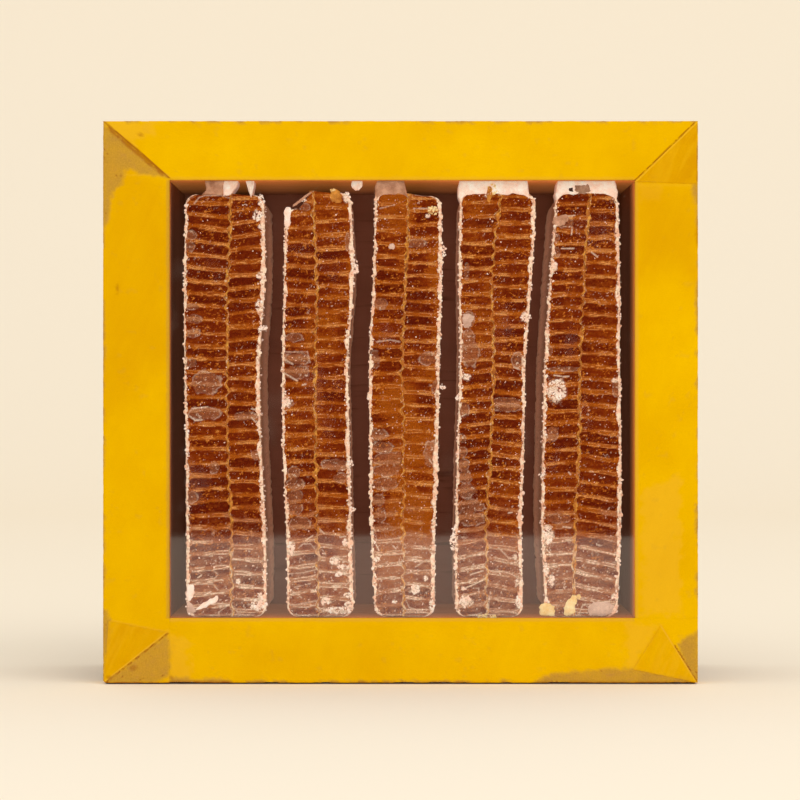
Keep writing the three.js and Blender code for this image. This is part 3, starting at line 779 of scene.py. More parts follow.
def wall_marks(x, z, nearest, above, off, reach, to_cap, seed):
    """How much of a cell wall shows, thicker at the cap and the midrib, and its painted highlight edges.
    """
    half = 0.5 + 0.3 * lattice(nearest, 0, seed + 3) + 0.5 * (fractal(x / 5, z / 1.8, seed + 5) - 0.45)
    # The wall below a cell is drawn wider and softer than the one above: painted light on that wall's top,
    # seen through the honey.
    half = half + np.where(above, -0.08, 0.2)
    half = half + 0.9 * np.clip(1 - to_cap / 1.1, 0, 1) ** 2
    half = half + 0.45 * np.clip(1 - np.maximum(reach - 0.3, 0) / 0.7, 0, 1) ** 2
    soft = np.where(above, 0.26, 0.62)
    wall = 1 - ramp(half - soft, half + soft, off)
    wall = wall * mix(0.5, 1.15, fractal(x / 9, nearest * 3.1, seed + 17, 2))
    ragged = 0.14 * sway(x / 0.9, z / 0.5, seed + 6)
    # Painted highlights: a bright line along the wall's edge and a second along its middle.
    edge = np.exp(-(((off - half * 0.8 + ragged) / 0.15) ** 2))
    edge = edge * patchy(0.36, 0.6, x / 3, nearest * 1.7, seed + 9, 2)
    second = np.exp(-(((off - 0.12 + ragged) / 0.13) ** 2))
    second = second * patchy(0.42, 0.66, x / 4, nearest * 2.3, seed + 10, 2)
    return wall, np.maximum(edge, second)


def film_marks(x, z, nearest, wall):
    """Milky film, painted as the sheen of an air gap against the glass, and the air pockets, their painted
    highlight rims and the filmed foot of the comb that it lies on.
    """
    depth = oval_depth(x, z, AIR, 0.5, 77)
    air = ramp(-0.02, 0.1, depth)
    # Painted highlight rims round the air pockets.
    rim = np.exp(-(((depth - 0.02) / 0.07) ** 2)) * ramp(0.3, 0.6, noise(x / 2, z / 2, 79))
    foot = ramp(60, 46, z + 12 * sway(x / 9, z / 7, 81))
    film = air * (0.35 + 0.5 * wall + 0.3 * sway(x / 2, z / 2, 83))
    film = np.maximum(film, foot * (0.22 + 0.6 * wall + 1.1 * sway(x / 2.4, z / 1.3, 97)))
    film = np.maximum(film, 0.7 * wall * ramp(72, 62, z) * patchy(0.35, 0.6, x / 8, nearest, 85))
    return film, air, rim, foot


def pale_wax_and_highlight_marks(x, z, edge, air, rim, foot):
    """Pale wax and painted highlights: highlights on rims and wall edges, painted glints, drawn wax lines,
    specks, what lies round the crusts, and painted sparkle over air and foot.
    """
    rough = 0.35 * sway(x / 1.2, z / 1.2, 87)
    stain = ramp(-0.3, 0.35, oval_depth(x, z, CRUSTS, 0.9, 91))
    layers = [
        # Painted highlights on pocket rims and wall edges, then painted glints.
        0.45 * rim + 0.08 * edge + 0.95 * foot * edge,
        0.95 * near_lines(x, z, GLINTS, 0.05, 0.36),
        0.6 * near_lines(x, z, WAX_LINES, 0.0, 0.36, rough),
        0.7 * patchy(0.76, 0.9, x / 0.5, z / 0.5, 89, 2) * ramp(0.3, 0.6, noise(x / 6, z / 6, 90)),
        stain * patchy(0.3, 0.55, x / 0.9, z / 0.9, 93),
        # Painted sparkle over the air pockets and the filmed foot.
        0.8 * (air + foot) * patchy(0.74, 0.86, x / 0.7, z / 0.7, 95, 2),
    ]
    return np.maximum.reduce(layers)


def cell_marks(comb, side, number, x, z, middle, inner_face):
    """What shows at the cut face of one side: cell walls, film, pale wax and tone, with painted light and
    highlights among them, and its relief.
    """
    seed = 1000 * number + (500 if side == "left" else 0)
    reach = np.abs(x - middle)
    cell, nearest, above, off = row_place(comb, side, number, x, z, reach, seed)
    wall, edge = wall_marks(x, z, nearest, above, off, reach, np.abs(inner_face - x), seed)
    streak = sway(x / 5, z / 0.7, seed + 13)
    mottle = sway(x / 1.1, z / 0.8, seed + 15)
    amber = patchy(0.42, 0.68, x / 16, z / 26, 7 * number + 3) * comb["amber"]
    tone = 0.1 + 0.35 * lattice(cell, 0, seed + 11) ** 1.5 + 0.3 * streak + 0.3 * mottle + 0.7 * amber
    # Painted light: the honey just above the wall below is made lighter amber.
    tone = tone + 0.25 * (1 - above) * ramp(1.6, 0.6, off)
    wall = np.clip(wall + 0.45 * streak + 0.6 * mottle + 0.2 * amber, 0, 1)
    flecks = patchy(0.62, 0.8, x / 0.7, z / 0.45, seed + 19, 2)
    flecks = flecks * patchy(0.4, 0.6, x / 3, z / 3, seed + 21)
    film, air, rim, foot = film_marks(x, z, nearest, wall)
    pale = pale_wax_and_highlight_marks(x, z, edge, air, rim, foot)
    relief = 0.5 * air * (1 - wall) + 0.12 * (1 - wall) - 0.06 * pale
    # Painted golden highlights on the wall edges, with golden flecks.
    gold_highlight = np.clip(0.75 * edge + 0.5 * flecks, 0, 1)
    wall = np.where(gold_highlight > 0.15, mix(GOLD_HIGHLIGHT_FROM, 1, gold_highlight), GOLD_HIGHLIGHT_FROM * wall)
    return wall, film, pale, tone, relief


def make_cells(comb, number, side, material):
    up, out = side_shares(*CELL_GRID, side)
    top = mix(comb["tops"][1], side_top(comb, side), out) - 0.3
    z = COMB_BOTTOM + up * (top - COMB_BOTTOM)
    middle = along(comb["middle"], comb_share(comb, z))
    inner_face = face_x(comb, side, z) - SIGN[side] * cap_thickness(side, z, number)
    x = mix(middle, inner_face + SIGN[side] * 0.35, out)
    *marks, relief = cell_marks(comb, side, number, x, z, middle, inner_face)
    y = COMB_FACE + 0.15 + relief
    shape = block(np.stack([x, y, z], axis=2), [COMB_FACE + 2.5, COMB_BACK])
    marks = with_rest(marks, len(shape[0]), (0.4, 0, 0, 0.4))
    node = f"comb_{number}_cells_{side}"
    make_piece(node + "_look", shape, marks, material, "honey_cells", [node])


def make_midrib(comb, number, material):
    up, across = shares(*MIDRIB_GRID)
    across = 2 * across - 1
    z = COMB_BOTTOM + 0.1 + up * (comb["tops"][1] - COMB_BOTTOM - 0.3) + 0 * across
    heights = wall_heights(comb, number)["left"]
    row = np.interp(z, heights, np.arange(len(heights)))
    zigzag = 0.45 * np.cos(2 * math.pi * row) * mix(0.1, 1.5, noise(row * 0.6, number, 5))
    wander = 1.2 * sway(z / 2.6, number, 17 + number)
    half = 0.36 + 1.2 * fractal(z / 1.9, number * 3, 23) ** 2
    half = half + 0.3 * ramp(0.3, 0, np.abs(row - np.round(row)))
    ragged = 0.5 * sway(z / 0.6, across * 9, 29 + number)
    middle = along(comb["middle"], comb_share(comb, z))
    x = middle - zigzag + wander + across * half + ragged * np.abs(across)
    y = COMB_FACE - 0.02 + 0.3 * across**2 + 0.15 * noise(z / 0.5, across * 4, 31)
    yellow = patchy(0.5, 0.7, z, across * 2, 37 + number) * 0.8
    dark = patchy(0.52, 0.72, z / 0.9, across * 3, 41 + number) * 0.8
    pale = patchy(0.72, 0.84, z / 0.7, across * 2.5, 43 + number, 2)
    pale = np.maximum(pale, ramp(60, 40, z) * patchy(0.5, 0.75, z / 1.3, across * 2, 47))
    tone = fractal(z / 3, across, 53)
    shape = block(np.stack([x, y, z], axis=2), [COMB_FACE + 1.5, COMB_BACK])
    marks = with_rest((yellow, dark, pale, tone), len(shape[0]), [0.2] * 4)
    node = f"comb_{number}_midrib"
    make_piece(node + "_look", shape, marks, material, "midrib_wax", [node])


# The depths at which the sides of the combs have points.
CAP_RINGS = [-37.6, -37, -36.2, -35.2, -34, -32.4, -30.4, -28, -25, -21, -16, -10, -2, 10, 22, 33]


def side_shade(depth):
    """How much painted shade browns the side of a comb in its gap: most just inside, and less towards the
    back.
    """
    return float(ramp(*SIDE_SHADE_FROM, depth) * mix(1.0, 0.35, ramp(*SIDE_SHADE_EASES_FROM, depth)))


def make_cap(comb, number, side, material):
    sign = SIGN[side]
    up, out = side_shares(*CAP_GRID, side)
    z = COMB_BOTTOM + 0.02 + up * (side_top(comb, side) - COMB_BOTTOM - 0.04) + 0 * out
    seed = 300 * number + (7 if side == "left" else 0)
    face = face_x(comb, side, z)
    thick = cap_thickness(side, z, number)
    bump = 0.7 * patchy(0.6, 0.85, z / 1.7, number, seed)
    bump = bump + 0.35 * sway(z / 0.8, number * 2, seed + 1)
    inner_rough = 0.7 * sway(z / 1.3, number * 3, seed + 2)
    x = mix(face - sign * (thick + inner_rough), face + sign * bump, out)
    crumb = fractal(x / 0.8, z / 0.8, seed + 3)
    y = COMB_FACE + 0.05 + 0.55 * ramp(0.6, 0.2, crumb) + 0.25 * out**4
    stain = ramp(0.35, -0.05, out) * patchy(0.4, 0.65, x / 1.2, z / 1.8, seed + 4) * 0.8
    # Painted shade in the recessed pits between the crumbs of capping wax.
    pit_shade = ramp(0.42, 0.22, crumb) * 0.75
    tone = patchy(0.25, 0.7, x / 1.4, z / 1.2, seed + 5)
    marks = [[m.ravel()] for m in (stain, 0 * z, pit_shade, tone)]

    def shift(ring, depth):
        ring_x, ring_y, ring_z = ring.T
        even_face = face_x(comb, side, ring_z)
        outer = (ring_x - even_face) * sign > -0.35
        rough = 0.7 * sway(ring_z / 1.5, ring_y / 1.5, seed + 6)
        swell = 0.5 * sway(ring_z / 6, ring_y / 6, seed + 7)
        even = even_face + sign * (rough + swell - 0.1)
        share = min(1.0, (depth - COMB_FACE) / 2)
        ring[:, 0] = np.where(outer, mix(ring_x, even, share), ring_x)
        marks[0].append(0.25 * patchy(0.6, 0.8, ring_z / 2, ring_y / 2, seed + 8))
        # Painted shade on the side as it goes back into the gap, and in its pits.
        marks[1].append(np.full(len(ring), side_shade(depth)))
        marks[2].append(0.5 * patchy(0.4, 0.2, ring_z / 1.5, ring_y / 1.5, seed + 6))
        marks[3].append(fractal(ring_z / 1.8, ring_y / 1.8, seed + 9))
        return ring

    shape = block(np.stack([x, y, z], axis=2), CAP_RINGS, shift)
    marks = [np.concatenate(parts) for parts in marks]
    node = f"comb_{number}_cap_{side}"
    make_piece(node + "_look", shape, marks, material, "capping_wax", [node])


# Crumbs


def ball_shape():
    """Points and triangles of a round lump one unit in radius."""
    made = bmesh.new()
    bmesh.ops.create_icosphere(made, subdivisions=1, radius=1)
    made.verts.index_update()
    points = np.array([v.co[:] for v in made.verts])
    faces = np.array([[v.index for v in f.verts] for f in made.faces])
    made.free()
    return points, faces


BALL_POINTS, BALL_FACES = ball_shape()


def lumps(name, spots, material, seed):
    """Uneven lumps as one mesh. spots holds x, y, z, size and flatness."""
    rng = np.random.default_rng(seed)
    points = []
    for x, y, z, size, flat in spots:
        uneven = 1 + 0.55 * (rng.random((len(BALL_POINTS), 1)) - 0.5)
        stretch = np.array([rng.uniform(0.7, 1.3), flat, rng.uniform(0.7, 1.3)])
        turn = rng.uniform(0, 2 * math.pi)
        lump = BALL_POINTS * uneven * stretch * size
        turned = lump.copy()
        turned[:, 0] = lump[:, 0] * math.cos(turn) - lump[:, 2] * math.sin(turn)
        turned[:, 2] = lump[:, 0] * math.sin(turn) + lump[:, 2] * math.cos(turn)
        points.append(turned + (x, y, z))
    points = np.concatenate(points)
    points[:, 1] = np.maximum(points[:, 1], GLASS_BACK + 0.02)
    starts = np.arange(len(spots)) * len(BALL_POINTS)
    triangles = (BALL_FACES + starts[:, None, None]).reshape(-1, 3)
    shape = (points, np.zeros((0, 4), int), triangles.tolist())
    make_piece(name, shape, None, material, "capping_wax", [])


def make_patch(number, corners, material):
    """A thin smooth lobe of wax with a wandering outline, on a cut face. In the dark tint it is painted
    shade.
    """
    u, v = shares(*PATCH_GRID)
    a, b, c, d = [np.array(corner, float) for corner in corners]
    flat = mix(mix(a, b, v[..., None]), mix(d, c, v[..., None]), u[..., None])
    centre = (a + b + c + d) / 4
    corner_pull = 1 - 0.24 * (np.abs(2 * u - 1) * np.abs(2 * v - 1)) ** 2
    flat = centre + (flat - centre) * corner_pull[..., None]
    wander = min(1.6, 0.5 * min(np.linalg.norm(b - a), np.linalg.norm(d - a)))
    flat_x = flat[..., 0]
    flat_z = flat[..., 1]
    x = flat_x + wander * sway(flat_x / 1.3, flat_z / 1.3, 301)
    z = flat_z + wander * sway(flat_x / 1.3, flat_z / 1.3, 303)
    z = np.maximum(z, COMB_BOTTOM + 0.1)
    edge = np.minimum(np.minimum(u, 1 - u), np.minimum(v, 1 - v))
    y = GLASS_BACK + 0.015 + 0.2 * ramp(0.16, 0, edge) + 0.05 * fractal(x / 1.1, z / 1.1, 305)
    shape = block(np.stack([x, y, z], axis=2), [COMB_FACE + 0.9])
    make_piece(f"wax_patch_{number}", shape, None, material, "capping_wax", [])


def comb_of(x):
    """The number of the comb whose cut face is nearest to x."""
    centres = [np.mean(comb["middle"]) for comb in COMBS]
    return int(np.argmin([abs(x - c) for c in centres])) + 1


def strewn(rng, ovals, number, least, deepest, fitted):
    """Crumbs strewn over the ovals of one comb, more of them over a larger oval. Fitted crumbs are
    finer on a narrow oval."""
    spots = []
    for x, z, half_width, half_height in ovals:
        if comb_of(x) != number:
            continue
        fit = min(1, 0.35 + min(half_width, half_height) / 2) if fitted else 1
        for _ in range(int(least + 9 * half_width * half_height)):
            radius = math.sqrt(rng.random())
            angle = rng.uniform(0, 2 * math.pi)
            place_x = x + half_width * radius * math.cos(angle)
            place_z = z + half_height * radius * math.sin(angle)
            size = (0.22 + 0.4 * rng.random() ** 2) * fit
            spots.append((place_x, COMB_FACE + rng.uniform(0, deepest), place_z, size, 0.7))
    return spots


def make_crumbs(comb, number, white, yellow):
    """Crumbs along the cappings, specks on the honey, and the crusts named above."""
    rng = np.random.default_rng(70 + number)
    spots = []
    for side, sign in SIGN.items():
        top = side_top(comb, side)
        for _ in range(110):
            z = rng.uniform(COMB_BOTTOM + 2, top - 2)
            x = float(face_x(comb, side, z)) + sign * rng.uniform(-1.4, 0.3)
            size = 0.16 + 0.4 * rng.random() ** 3
            spots.append((x, COMB_FACE + rng.uniform(0, 0.3), z, size, 0.8))
        for _ in range(60):
            z = rng.uniform(COMB_BOTTOM + 1, top - 2)
            x = float(face_x(comb, side, z)) + sign * 0.1
            size = 0.25 + 0.35 * rng.random() ** 2
            spots.append((x, COMB_FACE + 12 * rng.random() ** 2, z, size, 0.9))
    for _ in range(170):
        z = rng.uniform(COMB_BOTTOM + 1, comb["tops"][1] - 1)
        left = float(face_x(comb, "left", z)) + 1.5
        right = float(face_x(comb, "right", z)) - 1.5
        size = 0.1 + 0.2 * rng.random() ** 3
        spots.append((rng.uniform(left, right), COMB_FACE - 0.03, z, size, 0.5))
    spots += strewn(rng, CRUSTS, number, 8, 0.5, True)
    lumps(f"comb_{number}_crumbs", spots, white, 90 + number)
    golden = strewn(rng, CREAMS, number, 10, 0.4, False)
    if golden:
        lumps(f"comb_{number}_yellow_crumbs", golden, yellow, 120 + number)


# Burr wax: each lump's node, the height of its foot, its left and right edges from the foot up, how
# deep it goes back, and its tint.
BURR = [
    ("burr_wax_1a", 183.4, [-74.6, -73.2, -73.2, -73.4], [-65.9, -66.5, -66.6, -66.2], 15, "tan"),
    ("burr_wax_1b", 183.2, [-67.0, -66.6, -66.5, -66.6], [-63.6, -62.6, -61.4, -61.0], 15, "white"),
    ("burr_wax_1c", 182.4, [-56.3, -57.0, -57.6, -58.0], [-55.9, -55.6, -55.2, -55.0], 15, "white"),
    ("burr_wax_3", 183.6, [-9.4, -9.6, -9.6, -8.8], [3.9, 2.6, 1.9, 1.4], 16, "tan"),
    ("burr_wax_4", 183.6, [22.3, 21.6, 21.6, 22.0], [48.8, 48.4, 48.0, 47.8], 16, "white"),
    ("burr_wax_5", 183.6, [58.6, 58.2, 58.6, 59.0], [81.0, 81.6, 81.2, 80.6], 16, "white"),
    ("wax_drop", 185.3, [-17.2, -18.2, -18.4, -18.3], [-15.6, -14.5, -14.4, -14.4], 4, "white"),
]
BURR_TOP = WINDOW_TOP - 0.1


def make_burr(name, foot, left, right, deep, material):
    up, across = shares(*BURR_GRID)
    seed = len(name) + ord(name[-1])
    width = right[0] - left[0]
    from_side = np.minimum(across, 1 - across)
    droop = 2.6 * np.clip(1 - from_side * width / 4.5, 0, 1) ** 2 if width > 10 else 0
    sag = 1.1 * (fractal(across * width / 2.2, 3, seed) - 0.6) * (1 - up)
    z = mix(foot, BURR_TOP, up) + sag - droop * (1 - up)
    x = mix(along(left, up), along(right, up), across)
    x = x + 0.25 * (noise(z / 1.2, across * 2, seed + 1) - 0.5)
    edge = np.minimum(from_side * (right[1] - left[1]), up * (BURR_TOP - foot))
    y = GLASS_BACK + 0.06 + 0.5 * ramp(0.5, 0, edge) + 0.12 * fractal(x / 1.2, z / 1.2, seed + 2)
    rings = [GLASS_BACK + share * deep for share in (0.08, 0.2, 0.45, 0.75, 1)]

    def shift(ring, depth):
        ring[:, 2] = np.minimum(ring[:, 2] + 0.3 * (depth - GLASS_BACK) / deep, BURR_TOP)
        return ring

    shape = block(np.stack([x, y, z], axis=2), rings, shift)
    make_piece(name + "_look", shape, None, material, "capping_wax", [name])


# Paper

# Where the paper is rubbed to ochre, front view, as outlines of x, z.
WORN = [
    [(-111.5, 210.2), (-87.6, 190.2), (-98.6, 190.7), (-101, 192.8), (-103.5, 192.4), (-104.1, 187.2),
     (-106.4, 185.5), (-108.1, 182.9), (-109.5, 175.2), (-110.8, 171.1), (-112, 171)],
    [(109.2, 187), (112, 187), (112, 178.6), (109.8, 180)],
    [(-112, 27), (-110.2, 27), (-108.4, 24), (-108.8, 19), (-110, 12), (-110.6, 8.5), (-112, 8)],
    [(-111, 0.4), (-87.6, 18.6), (-86.0, 11.0), (-86.4, 3.4), (-92, 0.6)],
    [(112, 20.8), (103.4, 15.2), (104.6, 11.0), (108.6, 4.4), (112, 0.9)],
    [(50, 0.3), (54, 3.4), (66, 4.8), (84, 6.2), (96, 4.2), (108, 2.2), (108, 0.3)],
    [(-86, 0.3), (-86, 2.4), (-64, 1.6), (-64, 0.3)],
]
# Creases and dark edges as lines, with painted shadow along them at the top left mitre and the foot: x, z
# to x, z.
DARK_LINES = [
    (-111.3, 210.9, -97.5, 199.3),
    (-97.5, 199.3, -86.6, 189.5),
    (-111.2, 0.6, -64.0, 0.6),
    (60.0, 0.5, 111.2, 0.5),
]
BROWN_BANDS = [
    (-109.2, 208.0, -98.2, 198.8),
    (-98.2, 198.8, -89.0, 190.9),
]
# Painted highlights along creases and edges, as lines: x, z to x, z.
HIGHLIGHT_LINES = [
    (-110.4, 211.0, -98.6, 201.2),
    (-107.7, 190.6, -86.7, 190.6),
    (-110.7, 1.0, -87.4, 19.4),
    (-108.5, 23.9, -87.4, 19.6),
    (97.2, 22.3, 110.6, 1.2),
    (88.0, 187.0, 110.4, 186.8),
    (-87.8, 6.8, -87.8, 17.7),
]
# Brown specks and smudges: centre x, z and half width, half height.
SMUDGES = [
    (-97.2, 205.7, 0.9, 0.7),
    (-110.8, 197.0, 0.7, 1.2),
    (-104.6, 190.4, 0.4, 0.4),
    (-100.2, 6.0, 1.5, 1.2),
    (-85.9, 2.6, 1.1, 1.0),
    (-108.8, 2.4, 1.4, 0.8),
    (111.0, 168.0, 0.6, 5.0),
    (111.1, 194.0, 0.5, 8.0),
    (-106.0, 148.0, 0.6, 1.4),
]
# Where the yellow is faded.
FADED = [
    [(89.8, 186.9), (98.0, 186.9), (96.4, 182.4), (90.4, 182.0)],
    [(-87, 0.4), (-87, 19), (-79.8, 17), (-79.0, 0.4)],
    [(-112, 211.2), (-92, 211.2), (-92, 206), (-104, 203)],
    [(90.2, 72), (104.0, 78), (105.4, 26), (90.2, 26)],
    [(87, 6.0), (97.4, 21.6), (84.2, 24.0), (84.6, 7)],
]
# Where the yellow is a deeper orange.
DEEPER = [
    [(-112, 200), (-87, 186), (-87, 126), (-112, 100)],
    [(88, 186), (112, 186), (112, 150), (100, 160), (88, 152)],
]
# Edges of the flaps: a painted highlight along the fold with a painted shadow line just outside it.
FOLD_HIGHLIGHTS = [
    (-110.9, 0.7, -87.3, 19.4),
    (110.9, 0.8, 97.5, 22.1),
    (110.9, 210.5, 87.9, 188.2),
]
FOLD_SHADOWS = [
    (-110.6, 0.4, -87.0, 19.1),
    (111.15, 0.9, 102.5, 14.7),
    (110.7, 210.8, 87.6, 188.5),
]


def paper_marks(x, z, inner_distance, outer_distance, flap_orange=None):
    """Ochre wear, dark lines with painted shadows, deep orange, and fading with painted highlights at
    points of the paper.
    """
    on_flap = flap_orange is not None
    rough = 2.2 * sway(x / 2.5, z / 2.5, 201) + 0.9 * sway(x / 0.7, z / 0.7, 202)
    wear = ramp(-1.0, 1.0, inside_any(x, z, WORN) + rough * 0.9)
    along_edge = fractal((x + z) / 5, (x - z) / 9, 203)
    rim = ramp(1.5, 0.2, outer_distance + 0.8 * rough) * ramp(0.42, 0.62, along_edge)
    lip = ramp(1.7, 0.5, inner_distance + 0.25 * rough)
    wear = wear * mix(0.7, 1.12, fractal(x / 4, z / 4, 208))
    lip_wear = np.where(x < WINDOW_LEFT, 0.65, np.where(z > WINDOW_TOP, 0.1, 0.25))
    thin = patchy(0.72, 0.82, x / 3, z / 3, 204) * 0.13
    wear = np.maximum.reduce([wear * 0.95, rim * 0.8, lip * lip_wear, thin])

    broken = patchy(0.3, 0.5, (x + z) / 1.4, (x - z) / 3, 205)
    specks = patchy(0.82, 0.9, x / 0.8, z / 0.8, 207, 2) * ramp(0.25, 0.8, wear) * 0.7
    layers = [
        near_lines(x, z, DARK_LINES, 0.06, 0.5, 0.06 * rough) * (0.55 + 0.45 * broken) * 0.9,
        ramp(-0.3, 0.6, oval_depth(x, z, SMUDGES, 1.6, 206)) * 0.4,
        specks,
        ramp(0.45, 0.1, outer_distance + 0.15 * rough) * ramp(0.35, 0.6, along_edge) * 0.8,
    ]
    if not on_flap:
        layers += [
            near_lines(x, z, FOLD_SHADOWS, 0.05, 0.4) * (0.15 + 0.85 * broken) * 0.85,
            near_lines(x, z, BROWN_BANDS, 0.4, 1.2, 0.3 * rough) * (0.25 + 0.35 * broken),
        ]
    dark = np.maximum.reduce(layers)

    streaks = fractal((x - 0.4 * z) / 2.2, (z + 0.4 * x) / 14, 209)
    orange = 0.5 * ramp(-9, 6, inside_any(x, z, DEEPER) + 2 * rough) + 0.18 * (streaks - 0.4)
    # Painted highlights along creases and edges, and on a flap along its fold; they go into the faded
    # mark.
    light = near_lines(x, z, HIGHLIGHT_LINES, 0.05, 0.5) * 0.6
    if on_flap:
        orange = np.maximum(orange, flap_orange * mix(0.5, 1.3, streaks))
        brushed = 0.3 * patchy(0.4, 0.75, (x - 0.5 * z) / 1.7, (z + 0.5 * x) / 14, 233)
        light = np.maximum.reduce([light, near_lines(x, z, FOLD_HIGHLIGHTS, 0.25, 0.7), brushed])
    faded = ramp(-1.5, 1.5, inside_any(x, z, FADED) + 2.5 * rough) * 0.55
    # Painted highlight along the window's inner edge, half as strong at the top and none on the left.
    lip_highlight = lip * (x > WINDOW_LEFT) * np.where(z > WINDOW_TOP, 0.5, 1)
    return wear, dark, orange * (1 - light), np.maximum.reduce([faded, lip_highlight, light])


def paper_profile(width, returns):
    """The section of a strip as (distance from its inner edge, y), a closed line."""
    profile = [(0.0, TAPE_BACK), (0.0, TAPE_FRONT + 0.35), (0.1, TAPE_FRONT + 0.12), (0.4, TAPE_FRONT)]
    steps = int((width - 1.6) / 0.55)
    profile += [(0.4 + (width - 1.6) * (i + 1) / steps, TAPE_FRONT) for i in range(steps)]
    if not returns:
        return profile + [(width - 0.35, TAPE_FRONT), (width, TAPE_FRONT + 0.25), (width, TAPE_BACK)]
    corner = 0.6
    for i in range(4):
        angle = math.pi / 2 * (i + 1) / 4
        n = width - corner + corner * math.sin(angle)
        profile.append((n, TAPE_FRONT + corner - corner * math.cos(angle)))
    depth = TAPE_RETURN_BACK - TAPE_FRONT
    steps = int(depth / 0.8)
    profile += [(width, TAPE_FRONT + corner + (depth - corner) * (i + 1) / steps) for i in range(steps)]
    inner = width - PAPER_THICKNESS
    return profile + [(inner, TAPE_RETURN_BACK), (inner, TAPE_BACK + 0.01)]


def make_strip(node, width, returns, ends, place, open_range):
    """A strip of paper. ends(n) gives where it starts and stops at a distance from its inner edge, and
    place(n, s) gives x and z. Between the heights or widths of open_range its edge frames the window."""
    profile = np.array(paper_profile(width, returns))
    n = profile[None, :, 0]
    y = profile[None, :, 1]
    start, stop = ends(np.minimum(n, width))
    stations = int(np.max(stop - start) / 0.6)
    share = np.linspace(0, 1, stations)[:, None]
    s = start + share * (stop - start)
    n = n + 0 * s
    y = y + 0 * s
    x, z = place(n, s)
    window_from, window_to = open_range
    hidden = (s < window_from) | (s > window_to)
    y = np.where(hidden & (n < 0.5) & (y < TAPE_BACK - 0.1), TAPE_FRONT, y)
    face = np.abs(y - TAPE_FRONT) < 0.3
    ridge = 0.05 * sway(s / 9, n / 0.9, len(node))
    wrinkle = 0.11 * sway(x / 6, z / 6, 211)
    y = y + np.where(face, ridge + wrinkle, 0)
    side = n > width - 0.05
    waver = 0.35 * patchy(0.5, 0.8, s / 4, 1, len(node) + 3) + 0.12 * fractal(s / 1.1, y / 3, 213)
    n = np.where(side, n - waver, n)
    back_edge = y > TAPE_RETURN_BACK - 0.4
    y = np.where(back_edge & returns, y - 0.8 * fractal(s / 2.5, 2, len(node) + 5), y)
    x, z = place(n, s)
    inner_distance = n + 5 * (y > TAPE_BACK + 0.3) + 5 * hidden
    marks = paper_marks(x, z, inner_distance, np.maximum(width - n, 0) + (y - TAPE_FRONT))
    rows, columns = x.shape
    ids = np.arange(rows * columns).reshape(rows, columns)
    around = np.roll(ids, -1, axis=1)
    quads = np.stack([ids[:-1].ravel(), around[:-1].ravel(), around[1:].ravel(), ids[1:].ravel()], axis=1)
    points = np.stack([x.ravel(), y.ravel(), z.ravel()], axis=1)
    ngons = [ids[0, ::-1].tolist(), ids[-1].tolist()]
    return (points, quads, ngons), [mark.ravel() for mark in marks]


# How much the two lower corners of the paper are worn round, and the marks of its turned-back end.
FOOT_ROUNDING = 0.8
FOLD_MARKS = (0.3, 0.1, 0, 0.2)


def make_paper(material):
    outer = CASE_HALF - 0.05
    left_width = WINDOW_LEFT + outer
    right_width = outer - WINDOW_RIGHT
    top_width = CASE_TOP - 0.05 - WINDOW_TOP
    bottom_width = WINDOW_BOTTOM - TAPE_FOOT
    gap = 0.02

    def top_ends(n):
        share = n / top_width
        return WINDOW_LEFT + gap - share * left_width, WINDOW_RIGHT - gap + share * right_width

    def left_ends(n):
        foot = TAPE_FOOT + FOOT_ROUNDING * ramp(left_width - 1.2, left_width, n) ** 2
        return foot, WINDOW_TOP - gap + n / left_width * top_width - 0.6 * (n >= left_width)

    def right_ends(n):
        return WINDOW_BOTTOM + gap + 0 * n, WINDOW_TOP - gap + n / right_width * top_width

    def top_place(n, s):
        return s, WINDOW_TOP + n

    def left_place(n, s):
        return WINDOW_LEFT - n, s

    def right_place(n, s):
        return WINDOW_RIGHT + n, s

    def bottom_ends(n):
        end = CASE_HALF - 0.2 - FOOT_ROUNDING * ramp(bottom_width - 1.2, bottom_width, n) ** 2
        return WINDOW_LEFT + gap + 0 * n, end

    def bottom_place(n, s):
        return s, WINDOW_BOTTOM - n

    across = (WINDOW_LEFT, WINDOW_RIGHT)
    upright = (WINDOW_BOTTOM, WINDOW_TOP)
    strips = {
        "tape_top": (top_width, True, top_ends, top_place, across),
        "tape_left": (left_width, True, left_ends, left_place, upright),
        "tape_right": (right_width, True, right_ends, right_place, upright),
        "tape_bottom": (bottom_width, False, bottom_ends, bottom_place, across),
    }
    for node, strip in strips.items():
        (points, quads, ngons), marks = make_strip(node, *strip)
        if node == "tape_bottom":
            fold_points, fold_quads = fold_block()
            quads = np.concatenate([quads, fold_quads + len(points)])
            points = np.concatenate([points, fold_points])
            marks = with_rest(marks, len(points), FOLD_MARKS)
        make_piece(node + "_look", (points, quads, ngons), marks, material, "yellow_paper", [node])


def fold_block():
    """The end of the bottom strip, turned back along the right side."""
    rows = 30
    columns = 16
    up, back = shares(rows, columns)
    z = TAPE_FOOT + 0.05 + up * (WINDOW_BOTTOM - TAPE_FOOT - 0.1) + 0 * back
    y = TAPE_FRONT + 0.3 + back * (TAPE_RETURN_BACK - TAPE_FRONT - 0.6) + 0 * up
    skin = np.stack([CASE_HALF - 0.15 - 0.15 * fractal(y / 2, z / 2, 219), y, z], axis=2)
    inner = skin.copy()
    inner[:, :, 0] = CASE_HALF - PAPER_THICKNESS - 0.1
    points = np.concatenate([skin.reshape(-1, 3), inner.reshape(-1, 3)])
    count = rows * columns
    loop = border_loop(rows, columns)
    behind = loop + count
    sides = np.stack([loop, behind, np.roll(behind, -1), np.roll(loop, -1)], axis=1)
    faces = [grid_quads(rows, columns), grid_quads(rows, columns, count)[:, ::-1], sides]
    return points, np.concatenate(faces)


